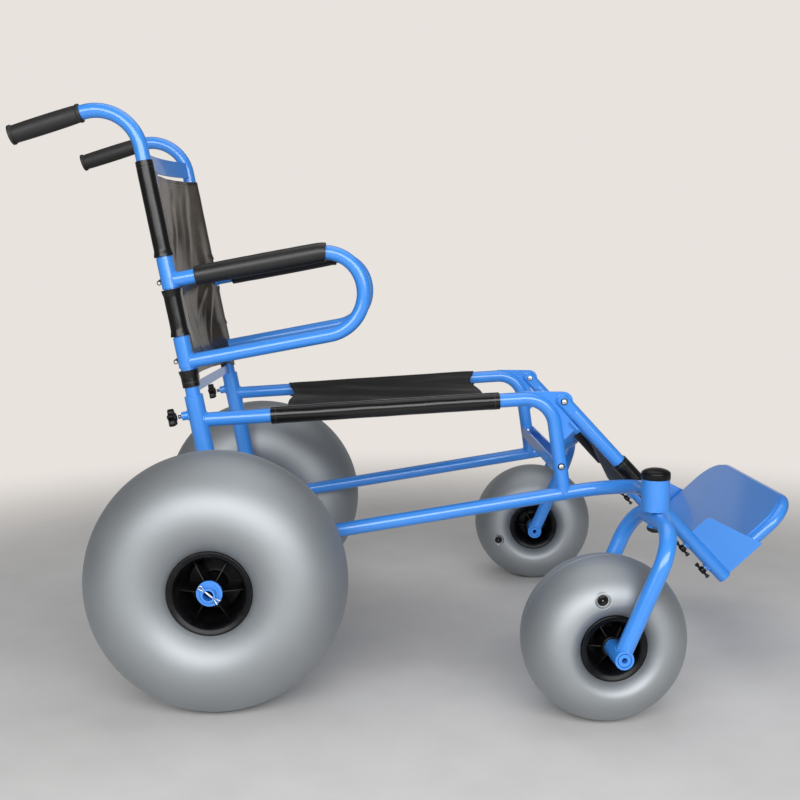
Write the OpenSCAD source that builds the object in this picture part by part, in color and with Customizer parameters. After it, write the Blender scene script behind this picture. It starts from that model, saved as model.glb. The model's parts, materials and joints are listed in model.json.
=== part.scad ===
// Beach wheelchair: a welded blue tube frame on four balloon wheels, with a lift-out
// backrest, swing-away armrests, a tilting legrest and a footplate that slides on it.
// X runs forward, Y to the user's left, Z up from the floor.

/* [Side frames] */
// Distance between the centre lines of the two side frames
frame_w = 480; // [440:5:520]
// Outer diameter of the frame tubes
tube_d = 28; // [26:0.5:30]
// Wall of the frame tubes
tube_wall = 2; // [1.5:0.5:3]
// Height of the seat rail over the rear axle, above the floor
seat_h = 523; // [505:1:540]
// Upward slope of the seat rail towards the front, degrees
rail_rise = 3.2; // [0:0.2:6]
// Rear axle to the corner where the seat rail turns down
rail_reach = 642; // [620:1:660]
// Centre line radius of the bend from seat rail to front upright
rail_bend = 58; // [50:1:66]
// Forward slope of the front upright from the vertical, degrees
upright_slope = 8; // [4:0.5:12]
// Height of the lower rail over the rear axle
lower_rail_lift = 22; // [18:1:30]
// Upward slope of the lower rail towards the front, degrees
lower_rail_rise = 8.9; // [7:0.1:10]
// Rear axle to the corner where the lower rail turns outwards
lower_rail_reach = 801; // [793:1:809]
// Centre line radius of the outward bend of the lower rail
lower_rail_bend = 115; // [95:1:130]

/* [Backrest sockets] */
// Rearward lean of the sockets and the back posts, degrees
back_lean = 10.2; // [6:0.2:14]
// Outer diameter of the socket tubes
socket_d = 36; // [35:0.5:38]
// Height of the socket mouth over the seat rail, along the post
socket_rise = 50; // [44:1:60]
// Length of socket tube under the rear axle
socket_foot = 20; // [16:1:26]
// Outer diameter of the threaded boss for the clamping knob
boss_d = 17; // [15:0.5:20]
// Length of the threaded boss
boss_len = 12; // [10:1:18]

/* [Rear wheels] */
// Diameter of the rear balloon tyres
rear_tyre_d = 486; // [470:2:500]
// Width of the rear balloon tyres
rear_tyre_w = 240; // [220:2:246]
// Clearance between each backrest socket and the tyre beside it
rear_gap = 7; // [4:0.5:20]
// Outer diameter of the rear axle tube
rear_axle_d = 25; // [22:0.5:28]
// Wall of the rear axle tube
rear_axle_wall = 3; // [2:0.5:5]
// Diameter of the rear hub lips
rear_lip_d = 150; // [140:2:160]
// Distance between the outer faces of the rear hub lips
rear_hub_w = 172; // [160:2:180]
// Diameter of the axle end washers
washer_d = 46.5; // [42:0.5:52]
// Thickness of the axle end washers
washer_t = 4; // [3:0.5:6]

/* [Casters] */
// Diameter of the front balloon tyres
front_tyre_d = 300; // [280:2:310]
// Width of the front balloon tyres
front_tyre_w = 176; // [160:2:180]
// Each side frame to the caster swivel axis outside it
caster_out = 203; // [190:1:215]
// Trail of the front axle behind the swivel axis
caster_trail = 93; // [80:1:100]
// Outward turn of the resting casters, degrees
caster_toe = 5; // [0:0.5:8]
// Outer diameter of the caster housings
housing_d = 50; // [46:1:56]
// Height of the caster housings
housing_h = 57; // [50:1:62]
// Rise of the housing middle over the lower rail corner
housing_rise = 18; // [10:1:26]
// Diameter of the swivel pins
kingpin_d = 20; // [16:1:22]
// Outer diameter of the fork tubes
fork_d = 30; // [26:0.5:32]
// Centre line radius of the fork shoulders
fork_bend = 70; // [60:1:80]
// Outer diameter of the front axle tubes
front_axle_d = 22; // [18:0.5:24]
// Bore of the front axle tubes
front_axle_bore = 10; // [6:0.5:14]
// Outer diameter of the bosses on the fork ends
fork_boss_d = 33; // [30:0.5:36]
// Diameter of the front hub lips
front_lip_d = 122; // [112:2:130]
// Distance between the outer faces of the front hub lips
front_hub_w = 132; // [120:2:138]

/* [Back posts and handles] */
// Depth of the posts in their sockets
post_depth = 150; // [110:5:180]
// Seat rail to the corner of post and push handle, along the post
post_rise = 627; // [600:1:650]
// Centre line radius of the push handle bend
handle_bend = 85; // [70:1:90]
// Downward slope of the push handles towards the rear, degrees
handle_drop = 17; // [8:0.5:24]
// Post corner to the rear end of the handle
handle_reach = 239; // [225:1:250]
// Length of the rubber grips
grip_len = 141; // [120:1:144]
// Diameter of the rubber grips
grip_d = 34; // [32:0.5:38]
// Diameter of the flanges at the grip ends
grip_flange_d = 38; // [36:0.5:42]
// Seat rail to the middle of the top band, along the post
band_rise = 535; // [530:1:540]
// Height of the top band
band_h = 36; // [24:1:40]
// Rearward bow of the top band
band_bow = 36; // [20:1:50]
// Seat rail to the middle of the flat cross bar, along the post
cross_bar_rise = 62; // [60:0.5:64]
// Height of the flat cross bar
cross_bar_h = 18; // [14:1:20]

/* [Armrests] */
// Seat rail to the lower arm tube, along the post
arm_low_rise = 116; // [112:1:120]
// Distance between the lower and upper arm tubes
arm_gap = 160; // [150:1:170]
// Back post to the front of the arm loop centre line
arm_reach = 366; // [345:1:385]
// Centre line radius of the upper loop bend
arm_top_bend = 76; // [60:1:77]
// Centre line radius of the lower loop bend
arm_low_bend = 82; // [66:1:83]
// Height of the collars that turn on the posts
collar_h = 60; // [56:1:64]
// Outer diameter of the collars
collar_d = 32; // [31.5:0.5:34]
// Back post to the rear end of the arm pad
pad_start = 52; // [40:1:60]
// Diameter of the arm pads
pad_d = 36; // [32:0.5:42]
// Turn of the upper loop bend that the front of the pad covers, degrees
pad_wrap = 13; // [0:1:30]

/* [Legrest] */
// Rear axle to the legrest pivot
pivot_reach = 666; // [664:0.5:670]
// Height of the legrest pivot under the top of the seat rail corner
pivot_drop = 22; // [18:0.5:24]
// Downward slope of the legrest hangers, degrees
hanger_drop = 47.5; // [44:0.5:52]
// Pivot to the lower end of the hangers
hanger_len = 487; // [475:1:500]
// Outer diameter of the hanger tubes
hanger_d = 28; // [26:0.5:30]
// Thickness of the gusset plates that carry the hangers
gusset_t = 6; // [4:0.5:8]
// Length of the slot that takes the footplate flange
slot_len = 176; // [172:1:190]

/* [Footplate] */
// Length of the flange in the hanger slot
flange_len = 116; // [112:1:119]
// Thickness of the footplate sheet
sheet_t = 4; // [3:0.5:5]
// Reach of the flange out of the hanger axis
flange_reach = 101; // [90:1:115]
// Reach of the footplate front out of the hanger axis
plate_reach = 208; // [190:1:220]
// Outer diameter of the footplate border tube
border_d = 24; // [20:0.5:28]
// Centre line radius of the footplate's front corners
border_bend = 62; // [50:1:80]

/* [Slings] */
// Rear edge of the seat sling in front of the rear axle
seat_sling_start = 92; // [60:1:120]
// Front edge of the seat sling in front of the rear axle
seat_sling_end = 540; // [500:1:560]
// Sag of the seat sling between the rails
seat_sag = 30; // [15:1:45]
// Thickness of the sling cloth
cloth_t = 1.6; // [1:0.1:2.4]
// Socket mouth to the lower edge of the back sling
back_sling_start = 17; // [14:1:20]
// Seat rail to the upper edge of the back sling, along the post
back_sling_rise = 506; // [500:1:512]
// Rearward belly of the back sling
back_belly = 28; // [10:1:40]
// Depth of the creases in the back sling
crease = 3; // [0:0.5:5]
// Legrest pivot to the upper edge of the calf strap
strap_start = 165; // [140:1:180]
// Length of the calf strap along the hangers
strap_len = 92; // [60:1:110]
// Sag of the calf strap behind the hangers
strap_sag = 40; // [20:1:50]

/* [Hidden] */
$fn = 64;
right = -1;
left = 1;

// Clearances: sliding and turning fits, welded seams, free gaps, and the overrun of cuts
running_fit = 0.05;
slide_fit = 0.15;
seam = 0.05;
free_gap = 0.4;
overrun = 1;
bend_tuck = 1;
bend_shy = 0.05;

// Contact patch that the soft tyres flatten on the floor
rear_flat = 3;
front_flat = 2;
tyre_wall = 4;
hub_lip_t = 5;
hub_wall = 4;
hub_web_t = 8;
hub_sleeve_wall = 8;
rib_t = 3;
rib_count = 6;
rib_set_back = 6;
bead_share = 0.76;
tyre_belly_share = 0.43;
tyre_points = 56;
valve_d = 17;
valve_seat_d = 24;
valve_dish = 9;
valve_core_d = 8;
valve_angle_rear = 130;
valve_angle_front = 100;

// Frame places worked out from the driving sizes
half_w = frame_w / 2;
rear_track = frame_w + socket_d + 2 * rear_gap + rear_tyre_w;
caster_track = frame_w + 2 * caster_out;
tube_bore = tube_d - 2 * tube_wall;
axle_z = rear_tyre_d / 2 - rear_flat;
rail_slope = tan(rail_rise);
lower_slope = tan(lower_rail_rise);
lean_sin = sin(back_lean);
lean_cos = cos(back_lean);
rail_t = (seat_h - axle_z) / (lean_cos + rail_slope * lean_sin);
lower_t = lower_rail_lift / (lean_cos + lower_slope * lean_sin);
socket_top = rail_t + socket_rise;
rail_corner = [rail_reach, seat_h + rail_slope * rail_reach];
lower_z0 = axle_z + lower_rail_lift;
lower_corner_z = lower_z0 + lower_slope * lower_rail_reach;
upright_tan = tan(upright_slope);
rail_turn = 90 + rail_rise - upright_slope;
rail_trim = rail_bend * tan(rail_turn / 2);
rail_bend_mid = rail_corner - rail_trim * [cos(rail_rise), sin(rail_rise)]
    + rail_bend * [sin(rail_rise), -cos(rail_rise)];
upright_foot_z = (lower_z0 + lower_slope * (rail_corner[0] + upright_tan * rail_corner[1]))
    / (1 + lower_slope * upright_tan);
upright_foot = [rail_corner[0] + upright_tan * (rail_corner[1] - upright_foot_z), upright_foot_z];
post_d = tube_d;
post_bore = post_d - 2 * tube_wall;
socket_bore = post_d + 2 * slide_fit;

// Casters
housing_mid = lower_corner_z + housing_rise;
caster_reach = lower_rail_reach - housing_rise * lower_slope;
housing_base = housing_mid - housing_h / 2;
housing_mouth = housing_mid + housing_h / 2;
bearing_d = 42;
bearing_h = 14;
bearing_set = 2;
fork_gap = 1;
crown_z = housing_base - fork_gap - fork_d / 2;
front_axle_z = front_tyre_d / 2 - front_flat;
fork_side_gap = 6;
fork_half = front_tyre_w / 2 + fork_side_gap + fork_d / 2;
fork_boss_w = 36;
fork_wall = 3;
boss_ring_wall = 4;
boss_ring_depth = 3;
spacer_d = 30;
king_nut_h = 12;
king_nut_d = 34;
cap_d = housing_d + 2;
cap_skirt = 9;
cap_steps = 8;
cap_dome = 11;
cap_wall = 3;

// Back post frame: distances run up the post from the rear axle
post_foot = rail_t + socket_rise - post_depth;
post_corner = rail_t + post_rise;
handle_turn = 90 + handle_drop - back_lean;
handle_trim = handle_bend * tan(handle_turn / 2);
band_t = 4;
band_tab_w = 14;
band_mid = rail_t + band_rise;
cross_bar_mid = rail_t + cross_bar_rise;
cross_bar_t = 5;
knob_rise = 13;
knob_t = rail_t + knob_rise;
stud_d = 8;
knob_lobes = 5;
knob_hub_d = 24;
knob_lobe_d = 13;
knob_h = 13;
knob_neck_d = 16;
knob_neck_h = 7;
stud_free = 7;
grip_wall_end = 4;
grip_flange_h = 5;
grip_rib_count = 8;
grip_rib = 0.8;
grip_rib_h = 5;

// Armrest frame: the lower tube's height and the collar places on the post
arm_low = rail_t + arm_low_rise;
arm_high = arm_low + arm_gap;
low_collar_share = 0.17;
high_collar_share = 0.25;
low_collar = arm_low - low_collar_share * collar_h;
high_collar = arm_high - high_collar_share * collar_h;
collar_bore = post_d + 2 * running_fit;
pad_tuck = bend_tuck / arm_top_bend * 180 / PI;
ring_pin_d = 6;
ring_pin_len = 3;
ring_d = 10;
ring_wire = 2;
ring_sink = 0.6;
ring_side_share = 0.3;

// Legrest frame: s runs down the hanger from the pivot, q out of its upper side
pivot_z = rail_corner[1] + tube_d / 2 - pivot_drop;
hanger_bore = hanger_d - 2 * tube_wall;
clevis_len = 30;
clevis_flat_w = 23;
pivot_bolt_d = 8;
bolt_head_d = 13;
bolt_head_h = 5;
nut_h = 6;
gusset_nose_r = 19;
gusset_lift = 1.2;
nose_steps = 6;
stop_start = 38;
stop_len = 20;
stop_w = 24;
stop_t = 5;
flange_top_reach = 57;
flange_corner = 14;
flange_corner_steps = 5;
flange_inset = 9;
upper_knob_set = 102;
lower_knob_set = 41;
knob_places = [hanger_len - upper_knob_set, hanger_len - lower_knob_set];
clamp_boss_d = 13;
clamp_boss_h = 2.5;
clamp_stud_d = 6;
clamp_bar_len = 36;
clamp_bar_d = 9;
clamp_neck_d = 10;
clamp_neck_h = 2;
clamp_free = 1;
border_wall = 2;
channel_w = 26;
channel_h = 25;
channel_t = 3;
channel_rise = 56;
pin_wire = 3;
pin_len = 42;
pin_slope = -40;
pin_set = 6;
axle_tail = 14;

// Slings
sleeve_gap = free_gap;
sling_steps = 24;
strap_steps = 16;
seat_edge_bow = 22;
crease_count = 7;
collar_clear = 2;
bar_clear = 2;
notch_w = 26;
back_hem_bow = 14;

// Colours
paint = [0.16, 0.47, 0.90];
tyre_grey = [0.62, 0.64, 0.65];
black = [0.06, 0.06, 0.065];
cloth = [0.10, 0.10, 0.10];
steel = [0.78, 0.79, 0.80];

SIDES = [["right", right], ["left", left]];
SIDE_NODES = ["seat_rail", "lower_rail", "back_socket", "back_post", "push_grip", "armrest", "arm_pad",
    "ring_pins", "back_knob", "rear_tyre", "rear_hub", "rear_valve", "caster_fork", "kingpin",
    "front_axle", "front_spacers", "front_tyre", "front_hub", "front_valve", "hanger",
    "upper_clamp_knob", "lower_clamp_knob"];
SINGLE_NODES = ["rear_axle", "axle_washers", "axle_pins", "front_channel", "channel_bolts",
    "pivot_bolts", "caster_caps", "caster_bearings", "seat_sling", "top_band", "back_cross_bar",
    "back_sling", "calf_strap", "footplate", "footplate_border"];

// Overall reach, so that the part stands centred on its origin
function hanger_point(s, q) = [pivot_reach + s * cos(hanger_drop) + q * sin(hanger_drop),
    pivot_z - s * sin(hanger_drop) + q * cos(hanger_drop)];
grip_rear = -post_corner * lean_sin - handle_reach * cos(handle_drop)
    - grip_flange_d / 2 * sin(handle_drop);
plate_front = hanger_point(hanger_len - border_d / 2, plate_reach - border_d / 2)[0] + border_d / 2;
mid_x = (grip_rear + plate_front) / 2;

// Tube helpers: a run of straight lengths and bends through a list of corners
function unit(v) = v / norm(v);
function heading(v) = [0, acos(unit(v)[2]), atan2(v[1], v[0])];
function first_side(v) = let (h = heading(v)) [cos(h[1]) * cos(h[2]), cos(h[1]) * sin(h[2]), -sin(h[1])];
function turn_at(path, i) = acos(unit(path[i] - path[i - 1]) * unit(path[i + 1] - path[i]));
function trim_at(path, radii, i) = (i == 0 || i == len(path) - 1) ? 0
    : radii[i - 1] * tan(turn_at(path, i) / 2);

module ring(d, bore) {
    difference() {
        circle(d = d);
        if (bore > 0) circle(d = bore);
    }
}

module straight(from, to, d, bore = 0) {
    translate(from) rotate(heading(to - from)) linear_extrude(height = norm(to - from)) ring(d, bore);
}

// A bend whose ends tuck into the straight lengths on both sides, a hair inside their walls
module bend(r, turn, d, bore) {
    tuck_turn = bend_tuck / r * 180 / PI;
    rotate([0, 0, 180 - turn - tuck_turn]) rotate_extrude(angle = turn + 2 * tuck_turn) translate([r, 0])
        ring(d - 2 * bend_shy, bore > 0 ? bore + 2 * bend_shy : 0);
}

// One straight length, the bend after it, and then the rest of the run from the end of the bend
module tube_run(path, radii, d, bore, i, side) {
    ahead = unit(path[i + 1] - path[i]);
    length = norm(path[i + 1] - path[i]) - trim_at(path, radii, i) - trim_at(path, radii, i + 1);
    linear_extrude(height = length) ring(d, bore);
    if (i + 2 < len(path)) {
        r = radii[i];
        turn = turn_at(path, i + 1);
        next = unit(path[i + 2] - path[i + 1]);
        up = cross(ahead, side);
        roll = atan2(next * up, next * side);
        inward = side * cos(roll) + up * sin(roll);
        translate([0, 0, length]) rotate([0, 0, roll]) translate([r, 0, 0]) {
            rotate([90, 0, 0]) bend(r, turn, d, bore);
            rotate([0, turn, 0]) translate([-r, 0, 0])
                tube_run(path, radii, d, bore, i + 1, inward * cos(turn) - ahead * sin(turn));
        }
    }
}

module bent_tube(path, radii, d, bore = 0) {
    translate(path[0]) rotate(heading(path[1] - path[0]))
        tube_run(path, radii, d, bore, 0, first_side(path[1] - path[0]));
}

// Places: the whole part, one back post, one caster, one wheel, one hanger
module stand() {
    translate([-mid_x, 0, 0]) children();
}

module on_post(side) {
    translate([0, side * half_w, axle_z]) rotate([0, -back_lean, 0]) children();
}

module on_back() {
    translate([0, 0, axle_z]) rotate([0, -back_lean, 0]) children();
}

module on_caster(side) {
    translate([caster_reach, side * caster_track / 2, 0]) rotate([0, 0, -side * caster_toe]) children();
}

module on_front_wheel(side) {
    on_caster(side) translate([-caster_trail, 0, front_axle_z]) children();
}

module on_rear_wheel(side) {
    translate([0, side * rear_track / 2, axle_z]) children();
}

module on_legrest() {
    translate([pivot_reach, 0, pivot_z]) rotate([0, hanger_drop, 0]) children();
}

module across(d, w, bore = 0) {
    rotate([90, 0, 0]) translate([0, 0, -w / 2]) linear_extrude(height = w) ring(d, bore);
}

// Side frames
module seat_rail(side) {
    y = side * half_w;
    start = [-rail_t * lean_sin, y, axle_z + rail_t * lean_cos];
    corner = [rail_corner[0], y, rail_corner[1]];
    foot = [upright_foot[0], y, upright_foot[1]];
    lower_end = lower_rail_reach - lower_rail_bend;
    color(paint) stand() difference() {
        union() {
            bent_tube([start, corner, foot], [rail_bend], tube_d, tube_bore);
            gusset(side);
        }
        on_post(side) cylinder(d = socket_d + 2 * seam, h = socket_top + overrun);
        straight([-lower_t * lean_sin, y, axle_z + lower_t * lean_cos],
            [lower_end, y, lower_z0 + lower_slope * lower_end], tube_d + 2 * seam);
        channel_bolt_line(side) across(pivot_bolt_d + 2 * running_fit, tube_d + 2 * overrun);
    }
}

// Gusset plate in the plane of the frame, with the stop that the hanger rests on
module gusset(side) {
    below = -hanger_d / 2 - free_gap;
    under = below - stop_t - overrun;
    stop_end = stop_start + stop_len - overrun;
    heel = hanger_point(stop_end, under);
    rear = rail_corner[0] - rail_trim * cos(rail_rise);
    rear_axis = seat_h + rail_slope * rear;
    foot_z = heel[1] - stop_len;
    foot_x = rail_corner[0] + upright_tan * (rail_corner[1] - foot_z);
    outline = concat([[rear, rear_axis], [rear, rear_axis + tube_d / 2 + gusset_lift],
            [pivot_reach, pivot_z + gusset_nose_r]],
        [for (i = [1 : nose_steps]) let (a = 90 - i * (90 + hanger_drop) / nose_steps)
            [pivot_reach + gusset_nose_r * cos(a), pivot_z + gusset_nose_r * sin(a)]],
        [hanger_point(gusset_nose_r, below - overrun), hanger_point(stop_end, below - overrun), heel,
            [foot_x + tube_d / 2 + gusset_lift, foot_z], [foot_x, foot_z]],
        [for (i = [0 : nose_steps]) let (a = upright_slope + i * rail_turn / nose_steps)
            rail_bend_mid + rail_bend * [cos(a), sin(a)]]);
    translate([0, side * half_w, 0]) {
        difference() {
            rotate([90, 0, 0]) translate([0, 0, -gusset_t / 2])
                linear_extrude(height = gusset_t) polygon(outline);
            translate([pivot_reach, 0, pivot_z])
                across(pivot_bolt_d + 2 * running_fit, gusset_t + 2 * overrun);
        }
        translate([pivot_reach, 0, pivot_z]) rotate([0, hanger_drop, 0])
            translate([stop_start, -stop_w / 2, below - stop_t]) cube([stop_len, stop_w, stop_t]);
    }
}

module lower_run(side, d, bore = 0) {
    y = side * half_w;
    bent_tube([[-lower_t * lean_sin, y, axle_z + lower_t * lean_cos],
        [lower_rail_reach, y, lower_corner_z],
        [caster_reach, side * caster_track / 2, housing_mid]], [lower_rail_bend], d, bore);
}

module lower_rail(side) {
    color(paint) stand() difference() {
        union() {
            lower_run(side, tube_d, tube_bore);
            translate([caster_reach, side * caster_track / 2, housing_base])
                cylinder(d = housing_d, h = housing_h);
        }
        on_post(side) translate([0, 0, -socket_foot])
            cylinder(d = socket_d + 2 * seam, h = socket_foot + socket_top);
        translate([caster_reach, side * caster_track / 2, housing_base - overrun])
            cylinder(d = bearing_d, h = housing_h + 2 * overrun);
    }
}

module back_socket(side) {
    color(paint) stand() on_post(side) difference() {
        union() {
            translate([0, 0, -socket_foot]) cylinder(d = socket_d, h = socket_foot + socket_top);
            translate([0, 0, knob_t]) rotate([0, -90, 0]) cylinder(d = boss_d, h = socket_d / 2 + boss_len);
        }
        translate([0, 0, -socket_foot - overrun])
            cylinder(d = socket_bore, h = socket_foot + socket_top + 2 * overrun);
        across(rear_axle_d + 2 * seam, socket_d + 2 * overrun);
        translate([0, 0, knob_t]) rotate([0, -90, 0])
            cylinder(d = stud_d + 2 * running_fit, h = socket_d / 2 + boss_len + overrun);
    }
}

// Front cross channel, open upwards, bolted between the uprights through its end plates
channel_z = upright_foot[1] + channel_rise;
channel_x = upright_foot[0] - upright_tan * channel_rise;

module channel_bolt_line(side) {
    translate([channel_x, side * half_w, channel_z]) children();
}

module front_channel() {
    inner = frame_w - tube_d - 2 * seam;
    color(paint) stand() translate([channel_x, 0, channel_z]) difference() {
        translate([-channel_w / 2, -inner / 2, -channel_h / 2]) cube([channel_w, inner, channel_h]);
        translate([-channel_w / 2 + channel_t, -inner / 2 + channel_t, -channel_h / 2 + channel_t])
            cube([channel_w - 2 * channel_t, inner - 2 * channel_t, channel_h]);
        across(pivot_bolt_d + 2 * running_fit, inner + 2 * overrun);
    }
}

module hex_bolt(grip, head_side) {
    rotate([-90 * head_side, 0, 0]) {
        translate([0, 0, grip / 2 + seam]) cylinder(d = bolt_head_d, h = bolt_head_h);
        translate([0, 0, -grip / 2 - nut_h - seam])
            cylinder(d = pivot_bolt_d, h = grip + nut_h + bolt_head_h);
        translate([0, 0, -grip / 2 - nut_h - seam]) cylinder(d = bolt_head_d, h = nut_h, $fn = 6);
    }
}

module channel_bolts() {
    color(steel) stand() for (side = [right, left])
        translate([0, -side * channel_t / 2, 0]) channel_bolt_line(side) hex_bolt(tube_d + channel_t, side);
}

module pivot_bolts() {
    color(steel) stand() for (side = [right, left])
        translate([pivot_reach, side * half_w, pivot_z]) hex_bolt(clevis_flat_w, side);
}

// Rear axle: one tube through both sockets, with end washers and split pins
rear_sleeve_half = rear_hub_w / 2 - rib_set_back;
washer_y = rear_track / 2 + rear_sleeve_half + free_gap;
axle_half = washer_y + washer_t + axle_tail;

module rear_axle() {
    color(paint) stand() translate([0, 0, axle_z]) difference() {
        across(rear_axle_d, 2 * axle_half, rear_axle_d - 2 * rear_axle_wall);
        for (side = [right, left]) pin_line(side)
            translate([0, 0, -rear_axle_d]) cylinder(d = pin_wire + 2 * seam, h = 2 * rear_axle_d);
    }
}

module pin_line(side) {
    translate([0, side * (washer_y + washer_t + pin_set), 0]) rotate([0, 90 - pin_slope, 0]) children();
}

module axle_washers() {
    color(paint) stand() translate([0, 0, axle_z]) for (side = [right, left])
        translate([0, side * (washer_y + washer_t / 2), 0]) difference() {
            across(washer_d, washer_t, rear_axle_d + 2 * seam);
            translate([0, side * washer_t / 2, 0])
                across((washer_d + rear_axle_d) / 2, washer_t / 2, rear_axle_d + 4 * tube_wall);
        }
}

module axle_pins() {
    color(steel) stand() translate([0, 0, axle_z]) for (side = [right, left]) pin_line(side) {
        translate([0, 0, -pin_len / 2]) cylinder(d = pin_wire, h = pin_len);
        translate([0, 0, -pin_len / 2 - pin_wire]) rotate([90, 0, 0])
            rotate_extrude() translate([pin_wire * 3 / 2, 0]) circle(d = pin_wire);
    }
}

// Balloon wheels: a hollow tyre held between the lips of a ribbed plastic hub
function tyre_ring(mid, belly, half) = [for (i = [0 : tyre_points - 1])
    let (a = 360 * i / tyre_points) [mid + belly * cos(a), half * sin(a)]];

module tyre_section(tyre_d, tyre_w, lip_d, hub_w) {
    belly = tyre_belly_share * tyre_d / 2;
    mid = tyre_d / 2 - belly;
    barrel = bead_share * lip_d / 2;
    difference() {
        polygon(tyre_ring(mid, belly, tyre_w / 2));
        difference() {
            polygon(tyre_ring(mid, belly - tyre_wall, tyre_w / 2 - tyre_wall));
            translate([-tyre_d, -tyre_w]) square([tyre_d + barrel + tyre_wall, 2 * tyre_w]);
            lip_cuts(tyre_w, lip_d / 2 + tyre_wall, hub_w / 2 - hub_lip_t - tyre_wall);
        }
        translate([-tyre_d, -tyre_w]) square([tyre_d + barrel + seam, 2 * tyre_w]);
        lip_cuts(tyre_w, lip_d / 2 + seam, hub_w / 2 - hub_lip_t - seam);
    }
}

// Both ends of the section out to radius r, beyond half the width between the lips
module lip_cuts(tyre_w, r, half) {
    for (end = [right, left]) translate([0, end * (half + tyre_w / 2) - tyre_w / 2]) square([r, tyre_w]);
}

module tyre(tyre_d, tyre_w, lip_d, hub_w, flat, valve_angle, valve_side) {
    difference() {
        rotate([90, 0, 0]) rotate_extrude() tyre_section(tyre_d, tyre_w, lip_d, hub_w);
        translate([-tyre_d, -tyre_w, -tyre_d - tyre_d / 2 + flat]) cube([2 * tyre_d, 2 * tyre_w, tyre_d]);
        valve_place(tyre_d, tyre_w, lip_d, valve_angle, valve_side) {
            translate([0, 0, -tyre_w]) cylinder(d = valve_d + 2 * seam, h = 2 * tyre_w);
            cylinder(d = valve_seat_d, h = tyre_w);
        }
    }
}

// The valve sits in a dished seat on the side wall, square to the wheel face
function valve_radius(tyre_d, lip_d) = (tyre_d / 2 + lip_d / 2) / 2 - valve_dish;
function valve_depth(tyre_d, tyre_w, lip_d) =
    let (belly = tyre_belly_share * tyre_d / 2, mid = tyre_d / 2 - belly,
        off = (valve_radius(tyre_d, lip_d) - mid) / belly)
    tyre_w / 2 * sqrt(1 - off * off) - valve_dish / 3;

module valve_place(tyre_d, tyre_w, lip_d, valve_angle, valve_side) {
    rotate([0, -valve_angle, 0])
        translate([valve_radius(tyre_d, lip_d), valve_side * valve_depth(tyre_d, tyre_w, lip_d), 0])
            rotate([-90 * valve_side, 0, 0]) intersection() {
                children();
                translate([-tyre_w, -tyre_w, -2 * tyre_wall - valve_dish])
                    cube([2 * tyre_w, 2 * tyre_w, tyre_w]);
            }
}

module valve(tyre_d, tyre_w, lip_d, valve_angle, valve_side) {
    valve_place(tyre_d, tyre_w, lip_d, valve_angle, valve_side) difference() {
        union() {
            translate([0, 0, -tyre_wall - valve_dish]) cylinder(d = valve_d, h = tyre_wall + valve_dish);
            cylinder(d = valve_core_d, h = tyre_wall / 2);
        }
        translate([0, 0, -tyre_wall]) cylinder(d = valve_core_d / 2, h = 2 * tyre_wall);
    }
}

module hub(lip_d, hub_w, axle_d) {
    barrel = bead_share * lip_d / 2;
    sleeve = axle_d / 2 + running_fit + hub_sleeve_wall;
    sleeve_half = hub_w / 2 - rib_set_back;
    difference() {
        union() {
            rotate([90, 0, 0]) rotate_extrude() {
                translate([0, -sleeve_half]) square([sleeve, 2 * sleeve_half]);
                translate([0, -hub_web_t / 2]) square([barrel, hub_web_t]);
                translate([barrel - hub_wall, -hub_w / 2]) square([hub_wall, hub_w]);
                for (end = [right, left])
                    translate([barrel - hub_wall, end * (hub_w - hub_lip_t) / 2 - hub_lip_t / 2])
                        square([lip_d / 2 - barrel + hub_wall, hub_lip_t]);
            }
            for (i = [0 : rib_count - 1]) rotate([0, i * 360 / rib_count, 0])
                translate([sleeve - hub_wall, -sleeve_half + rib_set_back, -rib_t / 2])
                    cube([barrel - sleeve + hub_wall, 2 * (sleeve_half - rib_set_back), rib_t]);
        }
        across(axle_d + 2 * running_fit, hub_w + 2 * overrun);
    }
}

module rear_tyre(side) {
    color(tyre_grey) stand() on_rear_wheel(side)
        tyre(rear_tyre_d, rear_tyre_w, rear_lip_d, rear_hub_w, rear_flat, valve_angle_rear, -side);
}

module rear_valve(side) {
    color(black) stand() on_rear_wheel(side)
        valve(rear_tyre_d, rear_tyre_w, rear_lip_d, valve_angle_rear, -side);
}

module rear_hub(side) {
    color(black) stand() on_rear_wheel(side) hub(rear_lip_d, rear_hub_w, rear_axle_d);
}

module front_tyre(side) {
    color(tyre_grey) stand() on_front_wheel(side)
        tyre(front_tyre_d, front_tyre_w, front_lip_d, front_hub_w, front_flat,
            front_valve_turn(side), right);
}

module front_valve(side) {
    color(black) stand() on_front_wheel(side)
        valve(front_tyre_d, front_tyre_w, front_lip_d, front_valve_turn(side), right);
}

// The two front wheels have stopped at different turns
function front_valve_turn(side) = side == right ? valve_angle_front : valve_angle_front + valve_angle_front;

module front_hub(side) {
    color(black) stand() on_front_wheel(side) hub(front_lip_d, front_hub_w, front_axle_d);
}

// Casters
module caster_fork(side) {
    crown = [0, 0, crown_z];
    axle = [-caster_trail, 0, front_axle_z];
    half = [0, fork_half, 0];
    color(paint) stand() on_caster(side) difference() {
        union() {
            bent_tube([axle - half, crown - half, crown + half, axle + half], [fork_bend, fork_bend],
                fork_d, fork_d - 2 * fork_wall);
            for (end = [right, left]) translate(axle + end * half) across(fork_boss_d, fork_boss_w);
            translate([0, 0, crown_z - fork_d / 2]) cylinder(d = kingpin_d + 2 * fork_wall, h = fork_d);
        }
        translate([0, 0, crown_z - fork_d]) cylinder(d = kingpin_d + 2 * seam, h = 2 * fork_d);
        translate(axle) across(front_axle_d + 2 * seam, 2 * fork_half + 2 * fork_boss_w);
        for (end = [right, left]) translate(axle + end * half + [0, end * fork_boss_w / 2, 0])
            across(fork_boss_d - 2 * boss_ring_wall, 2 * boss_ring_depth);
    }
}

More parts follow.
